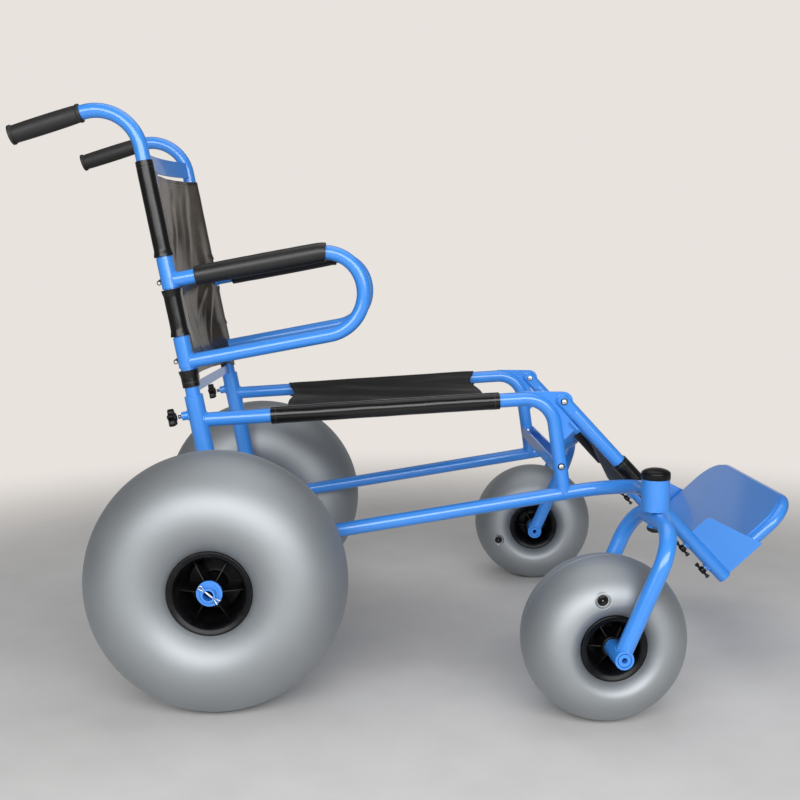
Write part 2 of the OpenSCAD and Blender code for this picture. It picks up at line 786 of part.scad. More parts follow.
module kingpin(side) {
    base = crown_z - fork_d / 2 - seam;
    color(steel) stand() on_caster(side) {
        translate([0, 0, base - king_nut_h])
            cylinder(d = kingpin_d, h = housing_mouth - base + 2 * king_nut_h);
        translate([0, 0, base - king_nut_h]) cylinder(d = king_nut_d, h = king_nut_h, $fn = 6);
        translate([0, 0, housing_mouth]) cylinder(d = king_nut_d, h = king_nut_h, $fn = 6);
    }
}

module caster_bearings() {
    color(steel) stand() for (side = [right, left], z = [housing_base + bearing_set,
        housing_mouth - bearing_set - bearing_h])
        on_caster(side) translate([0, 0, z]) linear_extrude(height = bearing_h)
            ring(bearing_d - 2 * seam, kingpin_d + 2 * running_fit);
}

module caster_caps() {
    skirt = housing_mouth + seam;
    bore = cap_d / 2 - 2 * cap_wall;
    dome = [for (a = [0 : 90 / cap_steps : 90])
        [cap_d / 2 * cos(a), cap_skirt + cap_dome * sin(a)]];
    inside = [[0, cap_skirt + cap_dome - cap_wall], [bore, cap_skirt + cap_wall],
        [bore, 0], [cap_d / 2, 0]];
    color(black) stand() for (side = [right, left]) on_caster(side) translate([0, 0, skirt])
        rotate_extrude() polygon(concat(inside, dome));
}

module front_axle(side) {
    color(paint) stand() on_front_wheel(side)
        across(front_axle_d, 2 * fork_half + fork_boss_w, front_axle_bore);
}

module front_spacers(side) {
    inner = front_hub_w / 2 - rib_set_back + free_gap;
    outer = fork_half - fork_boss_w / 2 - seam;
    color(paint) stand() on_front_wheel(side) for (end = [right, left])
        translate([0, end * (inner + outer) / 2, 0])
            across(spacer_d, outer - inner, front_axle_d + 2 * seam);
}

// Back posts, each bent into a push handle with a rubber grip
module on_handle() {
    translate([-handle_bend, 0, post_corner - handle_trim]) rotate([0, -handle_turn, 0])
        translate([handle_bend, 0, 0]) children();
}

module back_post(side) {
    tail = handle_reach - grip_wall_end;
    color(paint) stand() on_post(side)
        bent_tube([[0, 0, post_foot], [0, 0, post_corner],
            [-tail * sin(handle_turn), 0, post_corner + tail * cos(handle_turn)]],
            [handle_bend], post_d, post_bore);
}

module push_grip(side) {
    bore = post_d + 2 * seam;
    step = (grip_len - 2 * grip_flange_h) / grip_rib_count;
    front = handle_reach - handle_trim - grip_len;
    color(black) stand() on_post(side) on_handle() translate([0, 0, front]) difference() {
        union() {
            cylinder(d = grip_d, h = grip_len);
            for (z = [0, grip_len - grip_flange_h]) translate([0, 0, z])
                cylinder(d = grip_flange_d, h = grip_flange_h);
            for (i = [0 : grip_rib_count - 1])
                translate([0, 0, grip_flange_h + (i + 1 / 2) * step - grip_rib_h / 2])
                    cylinder(d = grip_d + 2 * grip_rib, h = grip_rib_h);
        }
        translate([0, 0, -overrun]) cylinder(d = bore, h = overrun + grip_len - grip_wall_end + seam);
    }
}

// Top band: a flat strip bowed rearwards between the posts, on a tab at each end
module top_band() {
    span = half_w - post_d / 2 - seam;
    bow_r = (span * span + band_bow * band_bow) / (2 * band_bow);
    color(paint) stand() on_back() translate([0, 0, band_mid - band_h / 2]) linear_extrude(height = band_h)
        intersection() {
            translate([bow_r - band_bow, 0]) difference() {
                circle(r = bow_r + band_t / 2, $fn = 180);
                circle(r = bow_r - band_t / 2, $fn = 180);
            }
            translate([-band_bow - band_tab_w, -span]) square([band_bow + 2 * band_tab_w, 2 * span]);
        }
}

// Flat bar that ties the posts together under the sling
module back_cross_bar() {
    span = frame_w - post_d - 2 * seam;
    color(paint) stand() on_back()
        translate([-cross_bar_t / 2, -span / 2, cross_bar_mid - cross_bar_h / 2])
            cube([cross_bar_t, span, cross_bar_h]);
}

// Star knob on a threaded stud that clamps the post in its socket
module back_knob(side) {
    tip = post_d / 2 + free_gap;
    seat = socket_d / 2 + boss_len + stud_free;
    color(black) stand() on_post(side) translate([0, 0, knob_t]) rotate([0, -90, 0]) {
        translate([0, 0, tip]) cylinder(d = stud_d, h = seat - tip + knob_neck_h);
        translate([0, 0, seat]) cylinder(d = knob_neck_d, h = knob_neck_h + knob_h);
        translate([0, 0, seat + knob_neck_h]) {
            cylinder(d = knob_hub_d, h = knob_h);
            for (i = [0 : knob_lobes - 1]) rotate([0, 0, i * 360 / knob_lobes])
                translate([knob_hub_d / 2, 0, 0]) cylinder(d = knob_lobe_d, h = knob_h);
        }
    }
}

// Armrests: a loop of tube on two collars that turn on the post
module armrest(side) {
    loop = [[0, 0, arm_high], [arm_reach, 0, arm_high], [arm_reach, 0, arm_low], [0, 0, arm_low]];
    color(paint) stand() on_post(side) difference() {
        union() {
            bent_tube(loop, [arm_top_bend, arm_low_bend], tube_d, tube_bore);
            for (z = [low_collar, high_collar]) translate([0, 0, z]) cylinder(d = collar_d, h = collar_h);
        }
        translate([0, 0, arm_low - collar_h]) cylinder(d = collar_bore, h = arm_gap + 2 * collar_h);
    }
}

module arm_pad(side) {
    bend_start = arm_reach - arm_top_bend;
    color(black) stand() on_post(side) {
        translate([pad_start, 0, arm_high]) rotate([0, 90, 0])
            linear_extrude(height = bend_start - pad_start) ring(pad_d, tube_d + 2 * free_gap);
        if (pad_wrap > 0) translate([bend_start, 0, arm_high - arm_top_bend]) rotate([90, 0, 0])
            rotate([0, 0, 90 - pad_wrap]) rotate_extrude(angle = pad_wrap + pad_tuck)
                translate([arm_top_bend, 0])
                    ring(pad_d - 2 * bend_shy, tube_d + 2 * free_gap + 2 * bend_shy);
    }
}

// Pull-ring pins screwed into the backs of the collars
module ring_pins(side) {
    color(steel) stand() on_post(side) for (z = [low_collar, high_collar])
        translate([-collar_d / 2 - seam, 0, z + ring_side_share * collar_h]) rotate([0, -90, 0]) {
            cylinder(d = ring_pin_d, h = ring_pin_len);
            translate([0, 0, ring_pin_len + (ring_d - ring_wire) / 2 - ring_sink]) rotate([90, 0, 0])
                rotate_extrude() translate([(ring_d - ring_wire) / 2, 0]) circle(d = ring_wire);
        }
}

// Legrest hangers: slotted tubes that straddle the gusset plates and take the footplate flanges
module hanger(side) {
    slot_w = sheet_t + 2 * free_gap;
    color(paint) stand() translate([0, side * half_w, 0]) on_legrest() difference() {
        union() {
            translate([clevis_len, 0, 0]) rotate([0, 90, 0])
                linear_extrude(height = hanger_len - clevis_len) ring(hanger_d, hanger_bore);
            intersection() {
                rotate([0, 90, 0]) translate([0, 0, -hanger_d / 2])
                    cylinder(d = hanger_d, h = hanger_d / 2 + clevis_len);
                union() {
                    across(hanger_d, hanger_d);
                    translate([0, -hanger_d / 2, -hanger_d / 2]) cube([clevis_len, hanger_d, hanger_d]);
                }
                union() {
                    translate([-hanger_d / 2, -clevis_flat_w / 2, -hanger_d / 2])
                        cube([hanger_d / 2 + clevis_len, clevis_flat_w, hanger_d]);
                    translate([clevis_len - tube_wall, -hanger_d / 2, -hanger_d / 2])
                        cube([tube_wall, hanger_d, hanger_d]);
                }
            }
            for (s = knob_places) translate([s, 0, 0]) rotate([180, 0, 0])
                cylinder(d = clamp_boss_d, h = hanger_d / 2 + clamp_boss_h);
        }
        translate([-hanger_d, -gusset_t / 2 - free_gap, -hanger_d])
            cube([hanger_d + clevis_len - tube_wall, gusset_t + 2 * free_gap, 2 * hanger_d]);
        across(pivot_bolt_d + 2 * running_fit, hanger_d + 2 * overrun);
        translate([hanger_len - slot_len, -slot_w / 2, 0]) cube([slot_len + overrun, slot_w, hanger_d]);
        translate([clevis_len + tube_wall, 0, 0]) rotate([0, 90, 0])
            cylinder(d = hanger_bore, h = hanger_len);
        for (s = knob_places) translate([s, 0, 0]) rotate([180, 0, 0])
            cylinder(d = clamp_stud_d + 2 * running_fit, h = hanger_d);
    }
}

// T-handled screws that clamp the footplate flange in the slot
module clamp_knob(side, s) {
    seat = hanger_d / 2 + clamp_boss_h + clamp_free;
    tip = -flange_inset + free_gap;
    color(black) stand() translate([0, side * half_w, 0]) on_legrest()
        translate([s, 0, 0]) rotate([180, 0, 0]) {
        translate([0, 0, tip]) cylinder(d = clamp_stud_d, h = seat - tip);
        translate([0, 0, seat]) cylinder(d = clamp_neck_d, h = clamp_neck_h);
        translate([0, 0, seat + clamp_neck_h]) {
            for (end = [right, left]) translate([end * (clamp_bar_len - clamp_bar_d) / 2, 0, 0])
                cylinder(d = clamp_bar_d, h = clamp_bar_d);
            translate([-(clamp_bar_len - clamp_bar_d) / 2, -clamp_bar_d / 2, 0])
                cube([clamp_bar_len - clamp_bar_d, clamp_bar_d, clamp_bar_d]);
        }
    }
}

// Footplate: a sheet tray with a side flange in each hanger slot, inside a bent border tube
plate_s = hanger_len - border_d / 2;
border_y = half_w - sheet_t / 2 - seam - border_d / 2;

module footplate() {
    panel_s = plate_s - border_d / 2 - seam - sheet_t;
    rear = hanger_d / 2 + free_gap;
    front = plate_reach - border_d / 2;
    color(paint) stand() on_legrest() {
        for (side = [right, left]) translate([0, side * half_w, 0]) rotate([90, 0, 0])
            translate([0, 0, -sheet_t / 2]) linear_extrude(height = sheet_t) polygon(flange_outline());
        translate([panel_s, 0, 0]) rotate([90, 0, 90]) linear_extrude(height = sheet_t) {
            translate([-border_y, rear]) square([2 * border_y, front - border_bend - rear]);
            translate([border_bend - border_y, rear]) square([2 * (border_y - border_bend), front - rear]);
            for (side = [right, left]) translate([side * (border_y - border_bend), front - border_bend])
                circle(r = border_bend);
            translate([-half_w, rear]) square([frame_w, flange_reach / 2 - rear]);
        }
    }
}

// Side flange in the hanger's own axes, with its upper corner rounded
function flange_outline() =
    let (slope = atan2(flange_reach - flange_top_reach, flange_len), top = hanger_len - flange_len,
        mid = [top + flange_corner, flange_top_reach - flange_corner * (1 - sin(slope)) / cos(slope)])
    concat([[top, flange_inset], [hanger_len, flange_inset], [hanger_len, flange_reach]],
        [for (i = [0 : flange_corner_steps]) let (a = 90 + slope + i * (90 - slope) / flange_corner_steps)
            mid + flange_corner * [cos(a), sin(a)]]);

module footplate_border() {
    start = flange_reach / 2 + seam;
    end = plate_reach - border_d / 2;
    path = [[plate_s, -border_y, start], [plate_s, -border_y, end], [plate_s, border_y, end],
        [plate_s, border_y, start]];
    color(paint) stand() on_legrest()
        bent_tube(path, [border_bend, border_bend], border_d, border_d - 2 * border_wall);
}

// Cloth between two parallel tubes: a sleeve round each and a sagging web, run along the tubes
module cloth_run(length, sag, d, steps, crease_depth) {
    span = half_w - d / 2 - sleeve_gap;
    dip = [for (i = [0 : steps]) let (u = 2 * i / steps - 1, fold = (1 + sin(u * crease_count * 180)) / 2)
        [u * span, -(sag + crease_depth * fold) * (1 - u * u)]];
    difference() {
        union() {
            for (side = [right, left]) translate([side * half_w, 0, 0])
                cylinder(d = d + 2 * sleeve_gap + 2 * cloth_t, h = length);
            linear_extrude(height = length) polygon(concat([for (p = dip) p + [0, cloth_t / 2]],
                [for (i = [steps : -1 : 0]) dip[i] - [0, cloth_t / 2]]));
        }
        for (side = [right, left]) translate([side * half_w, 0, -overrun])
            cylinder(d = d + 2 * sleeve_gap, h = length + 2 * overrun);
    }
}

module seat_sling() {
    len_x = (seat_sling_end - seat_sling_start) / cos(rail_rise);
    bow_r = (half_w * half_w + seat_edge_bow * seat_edge_bow) / (2 * seat_edge_bow);
    web_w = frame_w - tube_d - 2 * cloth_t - 2 * sleeve_gap;
    web_h = seat_sag + tube_d + 2 * overrun;
    color(cloth) stand() translate([seat_sling_start, 0, seat_h + rail_slope * seat_sling_start])
        rotate([0, -rail_rise, 0]) difference() {
            rotate([90, 0, 90]) cloth_run(len_x, seat_sag, tube_d, sling_steps, 0);
            for (x = [seat_edge_bow - bow_r, len_x - seat_edge_bow + bow_r])
                translate([x, 0, -tube_d / 2 - seat_sag - overrun]) intersection() {
                    cylinder(r = bow_r, h = web_h, $fn = 180);
                    translate([-bow_r, -web_w / 2, 0]) cube([2 * bow_r, web_w, web_h]);
                }
        }
}

module back_sling() {
    base = socket_top + back_sling_start;
    rise = rail_t + back_sling_rise - base;
    color(cloth) stand() on_back() difference() {
        translate([0, 0, base]) rotate([0, 0, -90])
            cloth_run(rise, back_belly, post_d, 2 * sling_steps, crease);
        for (side = [right, left], z = [[low_collar, arm_low], [high_collar, arm_high]]) {
            foot = min(z[0], z[1] - tube_d / 2) - collar_clear;
            translate([-socket_d, side * (half_w + (tube_d - notch_w) / 2) - (notch_w + tube_d) / 2, foot])
                cube([2 * socket_d, notch_w + tube_d, z[0] + collar_h + collar_clear - foot]);
        }
        translate([-cross_bar_t / 2 - bar_clear, -half_w + post_d / 2 - overrun, base - overrun])
            cube([cross_bar_t + 2 * bar_clear, frame_w - post_d + 2 * overrun,
                cross_bar_mid + cross_bar_h / 2 + bar_clear - base + overrun]);
    }
}

module calf_strap() {
    color(cloth) stand() on_legrest() translate([strap_start, 0, 0]) rotate([90, 0, 90])
        cloth_run(strap_len, strap_sag, hanger_d, strap_steps, 0);
}

for (side = SIDES) {
    seat_rail(side[1]);
    lower_rail(side[1]);
    back_socket(side[1]);
    back_post(side[1]);
    push_grip(side[1]);
    armrest(side[1]);
    arm_pad(side[1]);
    ring_pins(side[1]);
    back_knob(side[1]);
    rear_tyre(side[1]);
    rear_hub(side[1]);
    rear_valve(side[1]);
    caster_fork(side[1]);
    kingpin(side[1]);
    front_axle(side[1]);
    front_spacers(side[1]);
    front_tyre(side[1]);
    front_hub(side[1]);
    front_valve(side[1]);
    hanger(side[1]);
    clamp_knob(side[1], knob_places[0]);
    clamp_knob(side[1], knob_places[1]);
}
rear_axle();
axle_washers();
axle_pins();
front_channel();
channel_bolts();
pivot_bolts();
caster_caps();
caster_bearings();
seat_sling();
top_band();
back_cross_bar();
back_sling();
calf_strap();
footplate();
footplate_border();
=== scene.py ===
import json
import math

import bmesh
import bpy
from mathutils import Matrix, Vector, noise


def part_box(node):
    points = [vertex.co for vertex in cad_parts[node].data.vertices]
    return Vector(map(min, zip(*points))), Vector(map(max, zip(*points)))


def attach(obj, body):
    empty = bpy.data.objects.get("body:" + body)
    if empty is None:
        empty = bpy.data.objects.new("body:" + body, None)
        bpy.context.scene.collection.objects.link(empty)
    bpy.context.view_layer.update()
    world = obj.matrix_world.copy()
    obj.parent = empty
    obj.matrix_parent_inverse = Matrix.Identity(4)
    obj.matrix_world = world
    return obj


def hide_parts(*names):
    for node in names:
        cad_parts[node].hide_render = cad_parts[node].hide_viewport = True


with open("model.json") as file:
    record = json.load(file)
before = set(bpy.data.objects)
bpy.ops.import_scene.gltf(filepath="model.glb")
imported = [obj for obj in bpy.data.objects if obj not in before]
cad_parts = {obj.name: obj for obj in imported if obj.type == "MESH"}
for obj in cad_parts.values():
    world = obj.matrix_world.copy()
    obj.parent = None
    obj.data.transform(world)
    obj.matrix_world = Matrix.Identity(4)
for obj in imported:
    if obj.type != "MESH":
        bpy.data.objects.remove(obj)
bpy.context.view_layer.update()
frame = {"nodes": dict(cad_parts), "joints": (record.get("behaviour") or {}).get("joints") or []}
nodes = frame["nodes"]
sides = (("right", -1), ("left", 1))


# Studio: a pale grey floor that pales further out, a broad soft lamp over the camera's shoulder,
# a weaker one overhead and one behind.  None of it belongs to the chair.
def shade(tree, kind, ins=None, **props):
    """A new shader node, with its inputs set to values or linked from other nodes."""
    made = tree.nodes.new("ShaderNode" + kind)
    for key, value in props.items():
        setattr(made, key, value)
    for key, value in (ins or {}).items():
        if isinstance(value, bpy.types.NodeSocket):
            tree.links.new(value, made.inputs[key])
        else:
            made.inputs[key].default_value = value
    return made


def reckon(tree, operation, *terms, **props):
    """The result of a sum on plain values."""
    return shade(tree, "Math", dict(enumerate(terms)), operation=operation, **props).outputs[0]


def ranged(tree, value, low=0.0, high=1.0, to_low=0.0, to_high=1.0, **props):
    """A value moved from one range to another and kept inside it."""
    ends = {"From Min": low, "From Max": high, "To Min": to_low, "To Max": to_high}
    return shade(tree, "MapRange", {"Value": value, **ends}, **props).outputs["Result"]


def blend(tree, share, first, second):
    """One colour passing into another."""
    return shade(tree, "MixRGB", {"Fac": share, "Color1": first, "Color2": second}).outputs["Color"]


def new_finish(name):
    """A new material, with its tree and its main shader."""
    finish = bpy.data.materials.new(name)
    finish.use_nodes = True
    return finish, finish.node_tree, finish.node_tree.nodes["Principled BSDF"]


backdrop_colour = (0.810, 0.768, 0.728, 1)
floor_dark, floor_light = (0.565, 0.558, 0.551, 1), (0.67, 0.662, 0.655, 1)
floor_r = 14
pale_from, pale_to = 1.15, 2.6
floor_mesh = bpy.data.meshes.new("studio_floor")
bm = bmesh.new()
bmesh.ops.create_circle(bm, cap_ends=True, segments=96, radius=floor_r)
bm.to_mesh(floor_mesh)
bm.free()
studio_floor = bpy.data.objects.new("studio_floor", floor_mesh)
bpy.context.scene.collection.objects.link(studio_floor)
floor_finish, tree, shader = new_finish("floor_paint")
place = shade(tree, "TexCoord").outputs["Object"]
reach = shade(tree, "VectorMath", {0: place}, operation="LENGTH").outputs["Value"]
fade = ranged(tree, reach, pale_from, pale_to, interpolation_type="SMOOTHSTEP")
speck = shade(tree, "TexNoise", {"Vector": place, "Scale": 9.0, "Detail": 5.0}).outputs["Fac"]
tree.links.new(blend(tree, speck, floor_dark, floor_light), shader.inputs["Base Color"])
shader.inputs["Roughness"].default_value = 0.55
glow = shade(tree, "Emission", {"Color": backdrop_colour, "Strength": 1.0}).outputs["Emission"]
seen = shade(tree, "LightPath").outputs["Is Camera Ray"]
share = reckon(tree, "MULTIPLY", seen, fade)
mixed = shade(tree, "MixShader", {"Fac": share, 1: shader.outputs["BSDF"], 2: glow})
tree.links.new(mixed.outputs["Shader"], tree.nodes["Material Output"].inputs["Surface"])
floor_mesh.materials.append(floor_finish)

world = bpy.data.worlds.new("studio_room")
world.use_nodes = True
bpy.context.scene.world = world
tree = world.node_tree
room = tree.nodes["Background"]
room.inputs["Color"].default_value = (0.96, 0.97, 1.0, 1)
room.inputs["Strength"].default_value = 0.15
wall = shade(tree, "Background", {"Color": backdrop_colour, "Strength": 1.0})
seen = shade(tree, "LightPath").outputs["Is Camera Ray"]
mixed = shade(tree, "MixShader", {"Fac": seen, 1: room.outputs["Background"], 2: wall.outputs["Background"]})
tree.links.new(mixed.outputs["Shader"], tree.nodes["World Output"].inputs["Surface"])

for name, spot, target, size, power, colour in (
        ("front_lamp", (0.05, -3.4, 1.75), (0.06, 0, 0.40), (5.4, 1.5), 178, (1, 1, 1)),
        ("top_lamp", (0.2, 0.2, 3.2), (0, 0, 0.3), (2.8, 2.4), 28, (1, 1, 1)),
        ("back_lamp", (0.2, 5.0, 1.2), (0, 0, 0.7), (7.0, 1.9), 22, (1, 0.95, 0.89))):
    lamp = bpy.data.lights.new(name, "AREA")
    lamp.shape = "RECTANGLE"
    lamp.size, lamp.size_y = size
    lamp.energy = power
    lamp.color = colour
    lamp_object = bpy.data.objects.new(name, lamp)
    lamp_object.location = spot
    lamp_object.rotation_euler = (Vector(target) - Vector(spot)).to_track_quat("-Z", "Y").to_euler()
    bpy.context.scene.collection.objects.link(lamp_object)

camera_spot = (-0.0609, -2.267, 0.795)
camera_turn, camera_dip, camera_roll = -0.89, 6.72, -0.40
lens = bpy.data.cameras.new("side_camera")
lens.sensor_width = 36
lens.lens = 46.8
side_camera = bpy.data.objects.new("side_camera", lens)
side_camera.matrix_world = (Matrix.Translation(camera_spot)
                            @ Matrix.Rotation(math.radians(camera_turn), 4, "Z")
                            @ Matrix.Rotation(math.radians(90 - camera_dip), 4, "X")
                            @ Matrix.Rotation(math.radians(camera_roll), 4, "Z"))
bpy.context.scene.collection.objects.link(side_camera)
bpy.context.scene.camera = side_camera
bpy.context.scene.view_settings.view_transform = "Standard"


# Side frames: steel tube, bent, notched and welded, under a thick glossy blue powder coat that
# flows into a faint orange peel.  Each tube end is welded round with a small rippled bead.
joints = {joint["name"]: joint for joint in frame["joints"]}
sharp_angle = math.radians(42)


def joint_spot(name):
    """Where a joint of the frame stands."""
    return Vector(joints[name]["pos_m"])


def clouded_finish(name, cloud, tones, dulls, grain=None, span=(0.0, 1.0), extra=None):
    """Paint, metal, plastic or rubber whose tone and gloss drift, over a fine grain where one is given."""
    finish, tree, shader = new_finish(name)
    place = shade(tree, "TexCoord").outputs["Object"]
    drift = shade(tree, "TexNoise", {"Vector": place, **cloud}).outputs["Fac"]
    tree.links.new(blend(tree, ranged(tree, drift, *span), *tones), shader.inputs["Base Color"])
    tree.links.new(ranged(tree, drift, 0.0, 1.0, *dulls), shader.inputs["Roughness"])
    if grain:
        kind, look, strength, depth = grain
        relief = shade(tree, kind, {"Vector": place, **look}).outputs[0]
        bump = shade(tree, "Bump", {"Strength": strength, "Distance": depth, "Height": relief})
        tree.links.new(bump.outputs["Normal"], shader.inputs["Normal"])
    for key, value in (extra or {}).items():
        shader.inputs[key].default_value = value
    return finish


def coat(finish, *names):
    """Gives CAD pieces a finish."""
    for name in names:
        nodes[name].data.materials.clear()
        nodes[name].data.materials.append(finish)


def piece(name, bm, finish, body, slot, *stands_for):
    """A finished mesh that rides on a body and stands for the CAD pieces named, if any."""
    bmesh.ops.recalc_face_normals(bm, faces=bm.faces)
    mesh = bpy.data.meshes.new(name)
    bm.to_mesh(mesh)
    bm.free()
    mesh.materials.append(finish)
    mesh.shade_smooth()
    mesh.set_sharp_from_angle(angle=sharp_angle)
    made = bpy.data.objects.new(name, mesh)
    bpy.context.scene.collection.objects.link(made)
    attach(made, body)
    if stands_for:
        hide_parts(*stands_for)
    return made


def made_since(bm, old):
    """The points of a mesh that were not in old."""
    return [v for v in bm.verts if v not in old]


def edges_of(verts):
    """All edges that meet at some points."""
    return list({edge for v in verts for edge in v.link_edges})


def spin_round(bm, geom, steps):
    """Sweeps points and edges right round the Z axis and closes the sweep."""
    bmesh.ops.spin(bm, geom=geom, axis=(0, 0, 1), cent=(0, 0, 0), angle=2 * math.pi, steps=steps,
                   use_merge=True)


half_w, tube_r, socket_r = 0.240, 0.014, 0.018
knob_boss_r, rear_axle_r, housing_r = 0.0085, 0.0125, 0.025
lean_degrees = 10.2
lean = math.radians(lean_degrees)
rail_rise, lower_rise = math.radians(3.2), math.radians(8.9)
upright_slope = math.radians(8)
axle = joint_spot("rear_wheel_right_spin")
seat_h = 0.523
knob_lift, lower_lift = 0.013, 0.022
rail_run, lower_run = 0.642, 0.801
rail_t = (seat_h - axle.z) / (math.cos(lean) + math.tan(rail_rise) * math.sin(lean))
knob_t = rail_t + knob_lift
lower_t = lower_lift / (math.cos(lean) + math.tan(lower_rise) * math.sin(lean))
bead_r, bead_swell, bead_ripples = 0.0019, 0.22, 23


def post_place(side):
    """The line of a backrest post: local Z runs up it from the axle and local X points ahead."""
    return Matrix.Translation((axle.x, side * half_w, axle.z)) @ Matrix.Rotation(-lean, 4, "Y")


def weld_bead(bm, start, along, tube, main_spot, main_axis, main, comes=False):
    """Bead round a tube that runs from start, where it leaves a round main tube or comes to it."""
    along, main_axis = along.normalized(), main_axis.normalized()
    turn = Vector((0, 0, 1)).rotation_difference(along).to_matrix().to_4x4()
    old = set(bm.verts)
    bmesh.ops.create_circle(bm, segments=8, radius=bead_r,
                            matrix=Matrix.Translation((tube, 0, 0)) @ Matrix.Rotation(math.pi / 2, 4, "X"))
    loop = made_since(bm, old)
    spin_round(bm, loop + edges_of(loop), 60)
    flat = along - main_axis * main_axis.dot(along)
    for v in made_since(bm, old):
        angle = math.atan2(v.co.y, v.co.x)
        ring = Vector((math.cos(angle), math.sin(angle), 0)) * tube
        off = start + turn @ ring - main_spot
        off -= main_axis * main_axis.dot(off)
        lean_in = off.dot(flat)
        root = max(lean_in ** 2 - flat.length_squared * (off.length_squared - main ** 2), 0)
        reach = (math.sqrt(root) * (-1 if comes else 1) - lean_in) / flat.length_squared
        swell = 1 + bead_swell * math.sin(bead_ripples * angle)
        v.co = start + turn @ (ring + (v.co - ring) * swell) + along * reach


blue = clouded_finish("blue_powder_coat", {"Scale": 7.0, "Detail": 3.0},
                      tones=((0.032, 0.218, 0.68, 1), (0.042, 0.245, 0.73, 1)), dulls=(0.26, 0.36),
                      grain=("TexNoise", {"Scale": 420.0, "Detail": 1.0}, 0.05, 0.0006),
                      extra={"Coat Weight": 0.5, "Coat Roughness": 0.07})
coat(blue, "rear_axle", "axle_washers", "front_channel")

rail_way = Vector((math.cos(rail_rise), 0, math.sin(rail_rise)))
lower_way = Vector((math.cos(lower_rise), 0, math.sin(lower_rise)))
upright_way = Vector((math.sin(upright_slope), 0, -math.cos(upright_slope)))
upward = Vector((0, 0, 1))
bm = bmesh.new()
for name, side in sides:
    coat(blue, f"seat_rail_{name}", f"lower_rail_{name}", f"back_socket_{name}")
    post = post_place(side)
    foot = post.translation
    up = post.to_3x3() @ upward
    rear = post.to_3x3() @ Vector((-1, 0, 0))
    rail_corner = Vector((axle.x + rail_run, side * half_w, seat_h + math.tan(rail_rise) * rail_run))
    lower_corner = Vector((axle.x + lower_run, side * half_w,
                           axle.z + lower_lift + math.tan(lower_rise) * lower_run))
    caster = joint_spot(f"caster_{name}_swivel")
    weld_bead(bm, post @ Vector((0, 0, rail_t)), rail_way, tube_r, foot, up, socket_r)
    weld_bead(bm, post @ Vector((0, 0, lower_t)), lower_way, tube_r, foot, up, socket_r)
    weld_bead(bm, post @ Vector((0, 0, knob_t)), rear, knob_boss_r, foot, up, socket_r)
    weld_bead(bm, rail_corner, upright_way, tube_r, lower_corner, lower_way, tube_r, comes=True)
    weld_bead(bm, lower_corner, caster - lower_corner, tube_r, caster, upward, housing_r, comes=True)
    for way in (-1, 1):
        weld_bead(bm, foot, Vector((0, way, 0)), rear_axle_r, foot, up, socket_r)
piece("frame_welds", bm, blue, "frame", "blue_paint")


# Channel bolts and legrest pivot bolts: zinc-plated steel, pushed through the side frames, each with
# a low domed head over a dark plastic ring on the outside and a six-sided nut on the inside.
def turned(bm, outline, place, steps=64):
    """Sweeps an outline of (radius, height) points right round the local Z of a place."""
    old = set(bm.verts)
    made = [bm.verts.new((radius, 0, height)) for radius, height in outline]
    line = [bm.edges.new(pair) for pair in zip(made, made[1:])]
    spin_round(bm, made + line, steps)
    bmesh.ops.remove_doubles(bm, verts=made_since(bm, old), dist=1e-6)
    bmesh.ops.transform(bm, matrix=place, verts=made_since(bm, old))


def eased(points, ease, steps=4):
    """The same outline with each inner corner eased into a short curve."""
    soft = [Vector(points[0])]
    for before, corner, after in zip(points, points[1:], points[2:]):
        corner = Vector(corner)
        back, on = Vector(before) - corner, Vector(after) - corner
        back, on = (way.normalized() * min(ease, way.length / 2) for way in (back, on))
        for i in range(steps + 1):
            t = i / steps
            soft.append(corner + back * (1 - t) ** 2 + on * t ** 2)
    return soft + [Vector(points[-1])]


def ease_edges(bm, edges, offset, steps):
    """Rounds off some edges."""
    bmesh.ops.bevel(bm, geom=edges, offset=offset, segments=steps, profile=0.5, affect="EDGES", material=-1)


def raise_face(bm, old, height):
    """Draws the one flat face made since old up into a block."""
    face = next(f for f in bm.faces if all(v not in old for v in f.verts))
    raised = bmesh.ops.extrude_face_region(bm, geom=[face])["geom"]
    top = [v for v in raised if isinstance(v, bmesh.types.BMVert)]
    bmesh.ops.translate(bm, vec=(0, 0, height), verts=top)


def six_sided_nut(bm, radius, height, ease, place):
    """A nut that stands on the local floor of a place."""
    old = set(bm.verts)
    bmesh.ops.create_circle(bm, cap_ends=True, segments=6, radius=radius)
    raise_face(bm, old, height)
    ease_edges(bm, edges_of(made_since(bm, old)), ease, 2)
    bmesh.ops.transform(bm, matrix=place, verts=made_since(bm, old))


zinc = clouded_finish("zinc_plate", {"Scale": 260.0, "Detail": 4.0},
                      tones=((0.50, 0.51, 0.52, 1), (0.72, 0.73, 0.74, 1)), dulls=(0.20, 0.38),
                      extra={"Metallic": 1.0})
plastic = clouded_finish("black_plastic", {"Scale": 34.0, "Detail": 6.0, "Roughness": 0.65},
                         tones=((0.0025, 0.0025, 0.003, 1), (0.012, 0.012, 0.013, 1)), dulls=(0.22, 0.46),
                         grain=("TexNoise", {"Scale": 900.0, "Detail": 2.0}, 0.10, 0.0003),
                         span=(0.45, 0.80), extra={"IOR": 1.30})
bolt_r, head_r, ring_r = 0.004, 0.0058, 0.0069
ring_low, ring_h, head_h, dome_h = 0.0001, 0.0012, 0.0034, 0.0052
ring_outline = [(bolt_r, ring_low), (ring_r, ring_low), (ring_r, ring_h), (bolt_r, ring_h)]
head_outline = [(0, dome_h), (0.0030, 0.0050), (head_r, head_h), (head_r, ring_h), (bolt_r, ring_h)]
stem_past, nut_past, nut_h, head_ease, nut_ease = 0.007, 0.0061, 0.006, 0.0009, 0.0005
pivot_clamp, channel_clamp = 0.023, 0.031
channel_low, channel_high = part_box("front_channel")
channel_spot = (Vector(channel_low) + Vector(channel_high)) / 2
